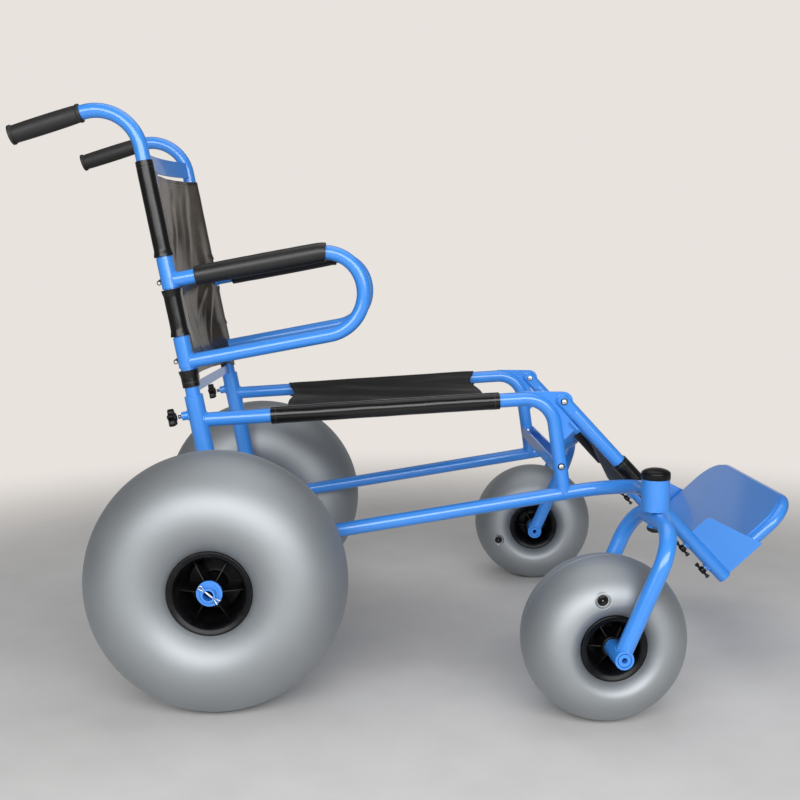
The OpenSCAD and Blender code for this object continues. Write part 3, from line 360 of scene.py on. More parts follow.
for group, clamp, outer, spot in (
        ("pivot_bolts", pivot_clamp, half_w + pivot_clamp / 2, joint_spot("legrest_tilt")),
        ("channel_bolts", channel_clamp, half_w + tube_r, channel_spot)):
    bolts, rings = bmesh.new(), bmesh.new()
    for _, side in sides:
        place = (Matrix.Translation((spot.x, side * outer, spot.z))
                 @ Matrix.Rotation(-side * math.pi / 2, 4, "X"))
        turned(rings, ring_outline, place, 40)
        stem = [(bolt_r, -clamp - stem_past), (0, -clamp - stem_past)]
        turned(bolts, eased(head_outline + stem, head_ease), place, 40)
        six_sided_nut(bolts, head_r, nut_h, nut_ease, place @ Matrix.Translation((0, 0, -clamp - nut_past)))
    piece(f"zinc_{group}", bolts, zinc, "frame", "bright_steel", group)
    piece(group.replace("bolts", "rings"), rings, plastic, "frame", "black_plastic")


# Split pins: bright steel wire bent back on itself round an eye, pushed through each end of the rear
# axle tube outside its washer, with the two ends splayed apart.
wire_t, eye_x, eye_r = 0.0021, -0.019, 0.0035
pin_gap, pin_turn = 0.006, math.radians(40)
leg_off, splay_off = 0.0008, 0.001
pin_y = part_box("axle_washers")[1][1] + pin_gap
curve = bpy.data.curves.new("split_pins", "CURVE")
curve.dimensions = "3D"
curve.bevel_depth = wire_t / 2
curve.bevel_resolution = 4
curve.resolution_u = 6
curve.use_fill_caps = True
curve.materials.append(zinc)
for _, side in sides:
    pin = Matrix.Translation((axle.x, side * pin_y, axle.z)) @ Matrix.Rotation(pin_turn, 4, "Y")
    for leg, splay in ((1, 0.004), (-1, -0.003)):
        points = [(eye_x - eye_r * math.cos(t), 0, leg * eye_r * math.sin(t))
                  for t in (i * math.pi / 6 for i in range(5))]
        points += [(x, 0, leg * leg_off) for x in (-0.012, 0.0, 0.012)]
        points += [(0.018, side * 0.001, leg * splay_off + splay / 2),
                   (0.023, side * 0.002, leg * splay_off + splay)]
        spline = curve.splines.new("NURBS")
        spline.points.add(len(points) - 1)
        for point, spot in zip(spline.points, points):
            point.co = (*(pin @ Vector(spot)), 1)
        spline.use_endpoint_u = True
        spline.order_u = 3
split_pins = bpy.data.objects.new("split_pins", curve)
bpy.context.scene.collection.objects.link(split_pins)
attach(split_pins, "frame")
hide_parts("axle_pins")


# Balloon wheels: soft rotationally moulded tyres, satin grey, blown up over the hubs and standing on
# a small flat, with a faint mould line round the crown and a dished seat for the valve.
def smooth_step(value, low, high):
    """Passes softly from 0 at low to 1 at high."""
    t = min(max((value - low) / (high - low), 0), 1)
    return t * t * (3 - 2 * t)


skin = clouded_finish("balloon_skin", {"Scale": 11.0, "Detail": 4.0},
                      tones=((0.330, 0.351, 0.366, 1), (0.376, 0.398, 0.415, 1)), dulls=(0.55, 0.63),
                      grain=("TexNoise", {"Scale": 60.0, "Detail": 3.0}, 0.07, 0.001),
                      extra={"Metallic": 0.84})
along_axle = Matrix.Rotation(-math.pi / 2, 4, "X")
belly_share, bead_share = 0.43, 0.76
mould_line_h, mould_line_w = 0.0008, 0.0014
lip_gap, lip_lap, arc_steps = 0.001, 0.002, 40
valve_seat_r, valve_r, dish, dish_flat, dish_rim = 0.012, 0.0085, 0.009, 0.92, 1.22
sleeve_wall, sleeve_short, web_half = 0.008, 0.006, 0.010
rib_count, rib_t, rib_taper, rib_short = 6, 0.0024, 0.82, 0.006
rim_ease, rib_ease, plug_ease, core_ease = 0.0026, 0.0009, 0.0006, 0.0003
for kind, radius, half, lip, hub_half, lip_half, axle_r, press, turns in (
        ("rear", 0.243, 0.120, 0.078, 0.086, 0.089, rear_axle_r, 0.003, {"right": 130, "left": 130}),
        ("front", 0.150, 0.088, 0.061, 0.066, 0.072, 0.0110, 0.002, {"right": 106, "left": 200})):
    belly = belly_share * radius
    middle = radius - belly
    barrel = bead_share * lip
    for name, side in sides:
        spin = joints[f"{kind}_wheel_{name}_spin"]
        toe = math.atan2(-spin["axis"][0], spin["axis"][1])
        wheel = Matrix.Translation(spin["pos_m"]) @ Matrix.Rotation(toe, 4, "Z")
        body = f"{kind}_wheel_{name}"
        face = -side if kind == "rear" else -1
        turn = math.radians(turns[name])
        valve_at = (radius + lip) / 2 - dish
        valve_y = half * math.sqrt(1 - ((valve_at - middle) / belly) ** 2) - dish / 3
        valve = Vector((valve_at * math.cos(turn), face * valve_y, valve_at * math.sin(turn)))

        bm = bmesh.new()
        tuck = lip_half + lip_gap
        roll = (middle - lip - lip_lap) / math.sqrt(1 - (tuck / half) ** 2)
        last = math.pi - math.asin(tuck / half)
        face_line = [(radius + mould_line_h, 0), (radius + 0.0001, mould_line_w)]
        for a in (i / arc_steps * last for i in range(1, arc_steps + 1)):
            bulge = belly if a < math.pi / 2 else roll
            face_line.append((middle + bulge * math.cos(a), half * math.sin(a)))
        face_line += [(lip - 0.001, lip_half - 0.005), (lip - 0.006, lip_half - 0.009)]
        turned(bm, [(r, -y) for r, y in reversed(face_line[1:])] + face_line, along_axle, 168)
        near = [f for f in bm.faces if f.calc_center_median().y * face > 0
                and (f.calc_center_median() - valve).length < 2.4 * valve_seat_r]
        near_edges = list({e for f in near for e in f.edges})
        bmesh.ops.subdivide_edges(bm, edges=near_edges, cuts=3, use_grid_fill=True)
        for v in bm.verts:
            off = math.hypot(v.co.x - valve.x, v.co.z - valve.z)
            if v.co.y * face > 0 and off < 1.5 * valve_seat_r:
                sink = 1 - smooth_step(off, dish_flat * valve_seat_r, dish_rim * valve_seat_r)
                v.co.y += (valve.y - v.co.y) * sink
            v.co.z = max(v.co.z, press - radius)
        bmesh.ops.transform(bm, matrix=wheel, verts=bm.verts)
        piece(f"{kind}_balloon_{name}", bm, skin, body, "balloon_skin", f"{kind}_tyre_{name}")

        # Hub: black moulded plastic held in the tyre by a rolled lip at each end, with a deep dish and
        # thin ribs between the barrel and the sleeve that turns on the axle.
        sleeve = axle_r + sleeve_wall
        sleeve_half = hub_half - sleeve_short
        bm = bmesh.new()
        dish_foot = barrel - 0.010
        inside = [(axle_r + 0.0003, sleeve_half), (sleeve, sleeve_half), (sleeve + 0.0015, 0.012),
                  (dish_foot, web_half)]
        rolled = [(lip - 0.0165, lip_half - 0.013), (lip - 0.0125, lip_half - 0.0045),
                  (lip - 0.0028, lip_half), (lip, lip_half - 0.004), (lip - 0.006, lip_half - 0.011)]
        rim = eased(inside + rolled + [(barrel, 0.012), (barrel, 0)], rim_ease)
        turned(bm, rim, wheel @ along_axle, 96)
        turned(bm, [(r, -y) for r, y in rim], wheel @ along_axle, 96)
        rib_half = sleeve_half - rib_short
        rib_climb = (rib_taper * rib_half - web_half) / (lip_half - 0.018)
        rib_end = dish_foot + rib_climb * (lip - barrel - 0.002) + 0.001
        rib_size = Matrix.Diagonal((rib_end - sleeve, 2 * rib_half, rib_t, 1))
        for i in range(rib_count):
            old = set(bm.verts)
            bmesh.ops.create_cube(bm, size=1, matrix=rib_size)
            rib = made_since(bm, old)
            for v in rib:
                v.co.y *= rib_taper if v.co.x > 0 else 1
            ease_edges(bm, edges_of(rib), rib_ease, 2)
            rib_place = (wheel @ Matrix.Rotation(i * 2 * math.pi / rib_count, 4, "Y")
                         @ Matrix.Translation(((rib_end + sleeve) / 2, 0, 0)))
            bmesh.ops.transform(bm, matrix=rib_place, verts=made_since(bm, old))
        piece(f"{kind}_rim_{name}", bm, plastic, body, "black_plastic", f"{kind}_hub_{name}")

        # Valve: a black plastic plug pressed into the dish in the tyre wall, with a small bright steel
        # core in the middle of it.
        plug_place = wheel @ Matrix.Translation(valve) @ Matrix.Rotation(-face * math.pi / 2, 4, "X")
        plug = [(0, 0.0006), (0.0038, 0.0006), (0.0046, 0.0024), (0.0064, 0.0030),
                (valve_r + 0.0008, 0.0018), (valve_r + 0.0014, -0.001), (valve_r, -0.013)]
        bm = bmesh.new()
        turned(bm, eased(plug, plug_ease), plug_place, 40)
        piece(f"{kind}_plug_{name}", bm, plastic, body, "black_plastic", f"{kind}_valve_{name}")
        core = [(0, 0.0017), (0.0009, 0.0016), (0.0013, 0.0012), (0.0013, 0.0004)]
        bm = bmesh.new()
        turned(bm, eased(core, core_ease), plug_place, 24)
        piece(f"{kind}_core_{name}", bm, zinc, body, "bright_steel")


# Casters: each fork is bent from steel tube, welded to its axle bosses and painted, and swivels on
# a pin with blackened nuts.  A moulded plastic cap is pressed over the top of each housing.
dark = clouded_finish("dark_nut", {"Scale": 180.0, "Detail": 4.0},
                      tones=((0.012, 0.012, 0.013, 1), (0.040, 0.040, 0.042, 1)), dulls=(0.30, 0.50),
                      extra={"Metallic": 0.8})
coat(zinc, "caster_bearings")
fork_r, boss_r, fork_half, caster_trail = 0.015, 0.0165, 0.109, 0.093
crown_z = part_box("caster_fork_right")[1][2] - fork_r
pin_r, pin_foot, pin_ease = 0.0098, 0.003, 0.001
swivel_nut_r, swivel_nut_h, swivel_nut_ease = 0.0150, 0.0060, 0.0007
low_nut_up, top_nut_down = 0.0060, 0.0118
cap_low, cap_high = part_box("caster_caps")
cap_h, cap_r = cap_high[2] - cap_low[2], 0.026
cap_outline = [(cap_r - 0.003, 0.0002), (cap_r - 0.0006, 0.0002), (cap_r, 0.0012)]
cap_outline += [(cap_r * math.cos(t), cap_h * (0.50 + 0.50 * math.sin(t)))
                for t in (i * math.pi / 24 for i in range(13))]
caps = bmesh.new()
for name, _ in sides:
    coat(blue, f"caster_fork_{name}", f"front_axle_{name}", f"front_spacers_{name}")
    swivel = joint_spot(f"caster_{name}_swivel")
    pin_low, pin_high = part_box(f"kingpin_{name}")
    pin_len = pin_high[2] - pin_low[2]
    pin_place = Matrix.Translation((swivel.x, swivel.y, pin_low[2]))
    pin_outline = [(0, pin_foot), (0.008, pin_foot), (pin_r, 0.005), (pin_r, pin_len - 0.0005), (0, pin_len)]
    bm = bmesh.new()
    turned(bm, eased(pin_outline, pin_ease), pin_place, 40)
    for nut_z in (low_nut_up, pin_len - top_nut_down):
        nut_place = pin_place @ Matrix.Translation((0, 0, nut_z))
        six_sided_nut(bm, swivel_nut_r, swivel_nut_h, swivel_nut_ease, nut_place)
    piece(f"swivel_pin_{name}", bm, dark, f"caster_{name}", "bright_steel", f"kingpin_{name}")
    spin = joints[f"front_wheel_{name}_spin"]
    toe = math.atan2(-spin["axis"][0], spin["axis"][1])
    place = Matrix.Translation((swivel.x, swivel.y, 0)) @ Matrix.Rotation(toe, 4, "Z")
    bm = bmesh.new()
    for end in (-1, 1):
        top = place @ Vector((0, end * fork_half, crown_z))
        foot = place @ Vector((-caster_trail, end * fork_half, spin["pos_m"][2]))
        weld_bead(bm, top, foot - top, fork_r, foot, Vector(spin["axis"]), boss_r, comes=True)
    piece(f"fork_welds_{name}", bm, blue, f"caster_{name}", "blue_paint")
    turned(caps, cap_outline, Matrix.Translation((swivel.x, swivel.y, cap_low[2])), 72)
piece("caster_caps_moulded", caps, plastic, "frame", "black_plastic", "caster_caps")


# Slings: one cut of coated cloth each, turned round both tubes and sewn back on itself, so that a sleeve
# slides over each tube and the web between hangs in a shallow belly with a sewn hem at each end.
sleeve_share, sleeve_turn, sleeve_fade = 0.125, math.radians(284), 0.012
wrap_r, cloth_t = 0.0153, 0.0016
hem_w, hem_fade, hem_shade = 0.009, 0.0006, 0.65
side_seam, stitches_per_metre, stitch_gap = 0.088, 210.0, 0.28
stitch_core, stitch_edge = 0.0004, 0.0014
# The first number sets how far the painted sheen lifts the cloth's tone at one end of its length and lowers
# it at the other.
painted_sheen_reach, cloud_dull, sleeve_shine = 0.45, 0.12, 0.55
weave_relief, hem_relief = 0.25, 1.5
sleeve_tone, hem_tone = (0.0045, 0.0043, 0.0041, 1), (0.006, 0.0053, 0.0046, 1)
thread_tone = (0.030, 0.029, 0.028, 1)
black_tones = ((0.0042, 0.0040, 0.0037, 1), (0.0085, 0.0078, 0.0070, 1))
# The back cloth's light tone is a painted reflection of the wall, laid on the upper web by the painted
# sheen; the dark tone is nearer the cloth's own brown-black.
brown_painted_sheen_tones = ((0.014, 0.0112, 0.0088, 1), (0.088, 0.0715, 0.0570, 1))


def coated_cloth(name, tones, web_shine, web_dull, sleeve_dull, cut_size, hems):
    """The cloth as cut: a web painted lighter along its length as a painted sheen, with random tone, darker
    sleeves and hems, dashed rows of stitching and a fine weave.
    """
    width, length = cut_size
    finish, tree, shader = new_finish(name)
    share = shade(tree, "TexCoord").outputs["UV"]
    cut = shade(tree, "VectorMath", {0: share, 1: (width, length, 1)}, operation="MULTIPLY")
    cut = cut.outputs["Vector"]
    axes = shade(tree, "SeparateXYZ", {0: cut})
    across, along = axes.outputs["X"], axes.outputs["Y"]
    cloud = shade(tree, "TexNoise", {"Vector": cut, "Scale": 22.0, "Detail": 5.0}).outputs["Fac"]
    # Painted sheen: the web's tone is lifted along the cut's length, most at its far end (the top of the
    # back sling), in place of the wall's reflection; the noise adds random tone.
    painted_sheen = ranged(tree, along, 0.0, length, -painted_sheen_reach, painted_sheen_reach)
    tone = blend(tree, reckon(tree, "ADD", painted_sheen, cloud, use_clamp=True), *tones)
    off = reckon(tree, "ABSOLUTE", reckon(tree, "SUBTRACT", across, width / 2))
    sleeve_edge = width * (0.5 - sleeve_share)
    on_sleeve = ranged(tree, off, sleeve_edge - sleeve_fade, sleeve_edge)
    tone = blend(tree, on_sleeve, tone, sleeve_tone)
    off = reckon(tree, "ABSOLUTE", reckon(tree, "SUBTRACT", along, length / 2))
    hem_edge = length / 2 - hem_w
    on_hem = ranged(tree, off, hem_edge - hem_fade, hem_edge, to_high=hem_shade)
    tone = blend(tree, on_hem, tone, hem_tone)
    rows = 0.0
    for off_row, on_row, spots in ((along, across, hems), (across, along, (side_seam, width - side_seam))):
        dash = reckon(tree, "FRACT", reckon(tree, "MULTIPLY", on_row, stitches_per_metre))
        dash = reckon(tree, "GREATER_THAN", dash, stitch_gap)
        for spot in spots:
            off = reckon(tree, "ABSOLUTE", reckon(tree, "SUBTRACT", off_row, spot))
            line = reckon(tree, "MULTIPLY", ranged(tree, off, stitch_core, stitch_edge, 1.0, 0.0), dash)
            rows = reckon(tree, "MAXIMUM", rows, line)
    tree.links.new(blend(tree, rows, tone, thread_tone), shader.inputs["Base Color"])
    dull = reckon(tree, "MULTIPLY_ADD", on_sleeve, sleeve_dull - web_dull, web_dull)
    tree.links.new(reckon(tree, "MULTIPLY_ADD", cloud, cloud_dull, dull), shader.inputs["Roughness"])
    weave = shade(tree, "TexWave", {"Vector": cut, "Scale": 320.0, "Distortion": 0.6}, wave_type="BANDS",
                  bands_direction="DIAGONAL").outputs["Fac"]
    height = reckon(tree, "SUBTRACT", reckon(tree, "MULTIPLY", weave, weave_relief), rows)
    height = reckon(tree, "MULTIPLY_ADD", on_hem, hem_relief, height)
    bump = shade(tree, "Bump", {"Strength": 0.12, "Distance": 0.0006, "Height": height})
    tree.links.new(bump.outputs["Normal"], shader.inputs["Normal"])
    shine = ranged(tree, on_sleeve, 0.0, 1.0, web_shine, sleeve_shine)
    tree.links.new(shine, shader.inputs["Specular IOR Level"])
    shader.inputs["IOR"].default_value = 1.40
    shader.inputs["Sheen Weight"].default_value = 0.04
    shader.inputs["Sheen Roughness"].default_value = 0.4
    return finish


def ripple(*spot):
    """Smooth uneven waves between about -1 and 1, the same on each run."""
    return noise.noise(Vector(spot))


def column(u):
    """Place on the section for a share of the cut width: -1 to 1 over the web, on to 2 round each sleeve."""
    if u < sleeve_share:
        return -2 + u / sleeve_share
    if u > 1 - sleeve_share:
        return 1 + (u - 1 + sleeve_share) / sleeve_share
    return -1 + 2 * (u - sleeve_share) / (1 - 2 * sleeve_share)


def section(c, wrap, belly):
    """Sideways place and height of the cloth: it leaves each sleeve in line with the belly's slope."""
    leave = math.atan2(2 * belly, half_w)
    if abs(c) > 1:
        angle = (abs(c) - 1) * sleeve_turn - leave
        return math.copysign(half_w + wrap * math.sin(angle), c), wrap * math.cos(angle)
    edge = half_w - wrap * math.sin(leave)
    return c * edge, wrap * math.cos(leave) - belly * (1 - c * c)


def sling_cloth(name, columns, rows, surface, finish, body, node, left_out=None):
    """A flat grid laid onto surface(c, v) and given its thickness, less the cells that left_out names."""
    bm = bmesh.new()
    bm.loops.layers.uv.new("cut")
    bmesh.ops.create_grid(bm, x_segments=columns, y_segments=rows, size=0.5, calc_uvs=True)
    if left_out:
        centres = {f: f.calc_center_median() for f in bm.faces}
        gone = [f for f, centre in centres.items() if left_out(column(centre.x + 0.5), centre.y + 0.5)]
        bmesh.ops.delete(bm, geom=gone, context="FACES")
    for v in bm.verts:
        v.co = surface(column(v.co.x + 0.5), v.co.y + 0.5)
    bmesh.ops.recalc_face_normals(bm, faces=bm.faces)
    bmesh.ops.solidify(bm, geom=bm.faces[:], thickness=cloth_t)
    return piece(name, bm, finish, body, "sling_cloth", node)


# Seat sling: black coated cloth, drawn smooth between the seat rails by a sleeve over each one, with
# a hollowed hem in front and behind.
seat_place = Matrix.Translation((axle.x, 0, seat_h)) @ Matrix.Rotation(-rail_rise, 4, "Y")
seat_start, seat_end = 0.092 / math.cos(rail_rise), 0.540 / math.cos(rail_rise)
seat_belly, far_shift = 0.043, -0.008
hem_hollow, seat_bow, bow_at, bow_w = 0.004, 0.015, 0.72, 0.2
sleeve_trim, trim_from, trim_to = 0.014, 1.64, 1.78
broad_pull, fine_pull, end_pucker = 0.0035, 0.0018, 0.0006


def seat_surface(c, v):
    """The point of the seat cloth at a place c across its section and a share v along the rails."""
    inner = max(1 - c * c, 0)
    wrap = wrap_r + 0.0004 * ripple(c * 5, v * 9, 2.0)
    belly = seat_belly * (0.86 + 0.14 * math.sin(math.pi * v))
    y, h = section(c, wrap, belly)
    bow = hem_hollow * inner + seat_bow * math.exp(-((abs(c) - bow_at) / bow_w) ** 2)
    bow += sleeve_trim * smooth_step(abs(c), trim_from, trim_to)
    x = seat_start + far_shift * smooth_step(c, 0, 1) + bow + v * (seat_end - seat_start - 2 * bow)
    pull = ripple(c * 2.2, v * 3.0, 7.1) * broad_pull + ripple(c * 7 + v * 4, v * 2.2, 1.7) * fine_pull
    h += pull * min(1, 3 * inner)
    if abs(c) > 1:
        ends = 1 - smooth_step(min(v, 1 - v), 0.0, 0.05)
        h += end_pucker * ends * math.sin(40 * v + 9 * c)
    return seat_place @ Vector((x, y, h))


seat_cut = (0.60, 0.449)
seat_hems = (0.010, seat_cut[1] - 0.010)
seat_cloth = coated_cloth("seat_cloth", black_tones, web_shine=0.26, web_dull=0.28, sleeve_dull=0.14,
                          cut_size=seat_cut, hems=seat_hems)
seat = sling_cloth("seat_cloth", 160, 64, seat_surface, seat_cloth, "frame", "seat_sling")


# Backrest: two painted steel posts, bent back into push handles, that stand in the sockets, with a bowed
# top band and a flat cross bar welded between them and a rubber grip, swelling gently between two flanges,
# pushed onto each handle.
rubber = clouded_finish("grip_rubber", {"Scale": 30.0, "Detail": 5.0},
                        tones=((0.007, 0.007, 0.007, 1), (0.016, 0.0155, 0.015, 1)), dulls=(0.48, 0.66),
                        grain=("TexNoise", {"Scale": 1300.0, "Detail": 2.0}, 0.25, 0.0003))
coat(blue, "top_band", "back_cross_bar")
post_corner = rail_t + 0.627
handle_bend, handle_dip, handle_reach = 0.085, 17, 0.239
handle_turn = math.radians(90 + handle_dip - lean_degrees)
handle_trim = handle_bend * math.tan(handle_turn / 2)
grip_len, grip_r, flange_r, flange_w, grip_runs = 0.141, 0.0165, 0.019, 0.006, 20
run_len = (grip_len - 2 * flange_w) / grip_runs
near_flange_r, grip_swell, grip_ease = grip_r + 0.0014, 0.0012, 0.0012
grip_outline = [(tube_r + 0.0001, 0), (near_flange_r, 0), (near_flange_r, flange_w),
                (grip_r, flange_w + 0.0008)]
for i in range(1, grip_runs):
    swell = grip_swell * math.sin(math.pi * i / grip_runs) ** 0.5
    grip_outline.append((grip_r + swell, flange_w + (i + 0.5) * run_len))
grip_outline += [(grip_r, grip_len - flange_w - 0.0012), (flange_r, grip_len - flange_w),
                 (flange_r, grip_len), (0, grip_len)]
for name, side in sides:
    coat(blue, f"back_post_{name}")
    place = (post_place(side) @ Matrix.Translation((-handle_bend, 0, post_corner - handle_trim))
             @ Matrix.Rotation(-handle_turn, 4, "Y")
             @ Matrix.Translation((handle_bend, 0, handle_reach - handle_trim - grip_len)))
    bm = bmesh.new()
    turned(bm, eased(grip_outline, grip_ease, 3), place, 64)
    piece(f"hand_grip_{name}", bm, rubber, "backrest", "black_rubber", f"push_grip_{name}")


# Back sling: a browner, glossier cloth with long upright creases, held by a sleeve over each post.  The
# sleeves stop short of each arm collar, and the web is slit where the arm tubes pass.
arm_low = rail_t + 0.116
arm_high = arm_low + 0.160
collar_h, collar_r, clear = 0.060, 0.016, 0.002
low_collar, high_collar = arm_low - 0.17 * collar_h, arm_high - 0.25 * collar_h
back_start, back_end = rail_t + 0.050 + 0.017, rail_t + 0.506
cross_bar_top = rail_t + 0.062 + 0.009
slits = [(min(collar, arm - tube_r) - clear, arm + tube_r + clear, collar + collar_h + clear)
         for collar, arm in ((low_collar, arm_low), (high_collar, arm_high))]
slit_edge, slit_ease = 0.945, 0.014
row_marks = [back_start, *slits[0], *slits[1], back_end]
row_counts = (10, 8, 12, 24, 8, 12, 60)
back_place = (Matrix.Translation((axle.x, 0, axle.z)) @ Matrix.Rotation(-lean, 4, "Y")
              @ Matrix.Rotation(math.pi / 2, 4, "Y"))
back_belly, bar_gap, foot_bow, top_bow = 0.044, 0.003, 0.006, 0.002
wave_depth, cross_depth, pucker_depth, fold_drift = 0.016, 0.004, 0.0065, 0.022
slit_swell = 0.0024
# Each fold: place across and up where it starts, the same where it ends, depth and breadth.
back_folds = ((0.42, 0.46, -0.05, 0.29, 0.0026, 0.015), (0.70, 0.49, 0.52, 0.31, 0.0018, 0.017),
              (-0.28, 0.47, -0.52, 0.30, 0.0014, 0.020), (0.90, 0.27, 0.36, 0.19, 0.0026, 0.015),
              (0.88, 0.24, 0.62, 0.13, 0.0024, 0.012), (0.12, 0.24, 0.22, 0.10, 0.0022, 0.017),
              (-0.90, 0.27, -0.40, 0.20, 0.0016, 0.016), (-0.88, 0.24, -0.60, 0.13, 0.0016, 0.014))


def back_rise(v):
    """Height along the post for a share of the rows, which lie closer beside the slits."""
    row = v * sum(row_counts)
    for count, low, high in zip(row_counts, row_marks, row_marks[1:]):
        if row <= count:
            return low + (high - low) * row / count
        row -= count
    return back_end


def back_left_out(c, v):
    """Whether a cell lies in a slit: all the sleeve goes there, and a little web where the tube passes."""
    t = back_rise(v)
    return any(foot < t < top and abs(c) > (slit_edge if t < tube_top else 1)
               for foot, tube_top, top in slits)


def back_creases(c, t):
    """Height of the broad waves, the puckers beside the arm collars and the drawn folds."""
    fold = ripple(c * 2.1 + t * 2.6, t * 2.3, 3.3)
    crease = wave_depth * (math.sqrt(fold * fold + 0.003) - 0.2)
    crease += cross_depth * ripple(c * 3.4 - t * 3, t * 3.1, 8.1)
    pucker = max(math.exp(-((t - tube_top) / 0.05) ** 2) for _, tube_top, _ in slits)
    pucker *= smooth_step(abs(c), 0.45, 0.9)
    crease += pucker_depth * pucker * ripple(c * 6, t * 22, 4.4)
    drift = Vector((ripple(c * 2, t * 9, 1.1), ripple(c * 2, t * 9, 5.1))) * fold_drift
    for c_from, t_from, c_to, t_to, depth, broad in back_folds:
        run = Vector((half_w * (c_to - c_from), t_to - t_from))
        off = Vector((half_w * (c - c_from), t - rail_t - t_from)) + drift
        share = min(max(off.dot(run) / run.length_squared, 0), 1)
        gap = (off - run * share).length / broad
        swell = depth * math.sin(math.pi * min(max(share, 0.08), 0.92))
        crease += swell * (1 - 2 * gap * gap) * math.exp(-gap * gap)
    return crease


def back_surface(c, v):
    """The point of the back cloth at a place c across its section and a share v up its rows."""
    inner = max(1 - c * c, 0)
    t = back_rise(v)
    beside = max(smooth_step(t, foot - slit_ease, foot) * (1 - smooth_step(t, top, top + slit_ease))
                 for foot, _, top in slits)
    beside *= smooth_step(abs(c), 0.70, 0.98)
    wrap = wrap_r + slit_swell * beside + 0.0004 * ripple(c * 4, t * 30, 5.0)
    belly = back_belly * (0.80 + 0.20 * math.sin(math.pi * (t - back_start) / (back_end - back_start)))
    y, h = section(c, wrap, belly)
    web = smooth_step(1 - abs(c), 0.0, 0.08)
    low_slit, high_slit = slits[0][0], slits[1][2]
    if t < low_slit:
        lift = cross_bar_top + bar_gap - back_start + foot_bow * inner
        t += web * lift * (low_slit - t) / (low_slit - back_start)
    if t > high_slit:
        t -= web * top_bow * inner * (t - high_slit) / (back_end - high_slit)
    h += back_creases(c, t) * smooth_step(1 - abs(c), 0.0, 0.22)
    return back_place @ Vector((-t, y, h))


back_cut = (0.60, 0.439)
back_hems = (0.009, back_cut[1] - 0.014, back_cut[1] - 0.006)
# The back web is painted lighter towards the top, a painted reflection of the wall.
back_cloth = coated_cloth("back_cloth", brown_painted_sheen_tones, web_shine=0.52, web_dull=0.16, sleeve_dull=0.22,
                          cut_size=back_cut, hems=back_hems)
back = sling_cloth("back_cloth", 224, sum(row_counts), back_surface, back_cloth, "backrest", "back_sling",
                   back_left_out)


# Star knobs: black plastic moulded with five lobes onto a threaded steel stud, one screwed into the boss
# behind each socket to clamp the post.
boss_len, stud_free, neck_h, knob_h = 0.012, 0.007, 0.007, 0.013
lobe_count, lobe_r, lobe_depth, knob_ease = 5, 0.0150, 0.0035, 0.0026
stud_r, thread_depth, thread_step, thread_count = 0.004, 0.0004, 0.0006, 38
stud_low, stud_high = 0.016, 0.0388
knob_z = socket_r + boss_len + stud_free
neck = [(0.0042, knob_z + 0.0045), (0.0075, knob_z + 0.0045), (0.0088, knob_z + neck_h + 0.002)]
threads = [(stud_r - thread_depth * (i % 2), stud_low + i * thread_step) for i in range(thread_count)]
for name, side in sides:
    place = post_place(side) @ Matrix.Translation((0, 0, knob_t)) @ Matrix.Rotation(-math.pi / 2, 4, "Y")
    bm = bmesh.new()
    turned(bm, eased(neck, 0.001), place, 40)
    old = set(bm.verts)
    bmesh.ops.create_circle(bm, cap_ends=True, segments=100, radius=1)
    for v in made_since(bm, old):
        angle = math.atan2(v.co.y, v.co.x)
        v.co = v.co.normalized() * (lobe_r + lobe_depth * math.cos(lobe_count * angle))
    raise_face(bm, old, knob_h)
    level = [e for e in edges_of(made_since(bm, old)) if abs(e.verts[0].co.z - e.verts[1].co.z) < 1e-6]
    ease_edges(bm, level, knob_ease, 4)
    bmesh.ops.transform(bm, matrix=place @ Matrix.Translation((0, 0, knob_z + neck_h)),
                        verts=made_since(bm, old))
    piece(f"star_knob_{name}", bm, plastic, f"back_clamp_{name}", "black_plastic", f"back_knob_{name}")
    bm = bmesh.new()
    turned(bm, [(0, stud_low)] + threads + [(0, stud_high)], place, 32)
    piece(f"knob_stud_{name}", bm, zinc, f"back_clamp_{name}", "bright_steel")


# Armrests: a loop of painted tube welded to two collars that turn on the post, with a foam sleeve pushed
# over the upper run and a pull-ring pin of dark steel behind each collar.
foam = clouded_finish("arm_foam", {"Scale": 26.0, "Detail": 6.0, "Roughness": 0.6},
                      tones=((0.0045, 0.0045, 0.0045, 1), (0.0105, 0.0102, 0.0100, 1)), dulls=(0.34, 0.50),
                      grain=("TexVoronoi", {"Scale": 800.0}, 0.20, 0.0004))
arm_reach, arm_bend = 0.366, 0.076
pad_start, pad_r, pad_steps, pad_ease = 0.052, 0.018, 60, 0.0015
bend_start = arm_reach - arm_bend
pad_turn = math.radians(13)
pad_len = bend_start + arm_bend * pad_turn - pad_start
pad_bore = tube_r + 0.0003
ring_pin = [(0.0030, 0.0001), (0.0030, 0.0022), (0.0016, 0.0028), (0.0016, 0.0052), (0, 0.0054)]
pull_r, pull_wire_r, pull_turn, ring_up = 0.0040, 0.0009, math.radians(72), 0.3
pull_ring = [(pull_r + pull_wire_r * math.cos(t), pull_wire_r * math.sin(t))
             for t in (i * math.pi / 6 for i in range(13))]
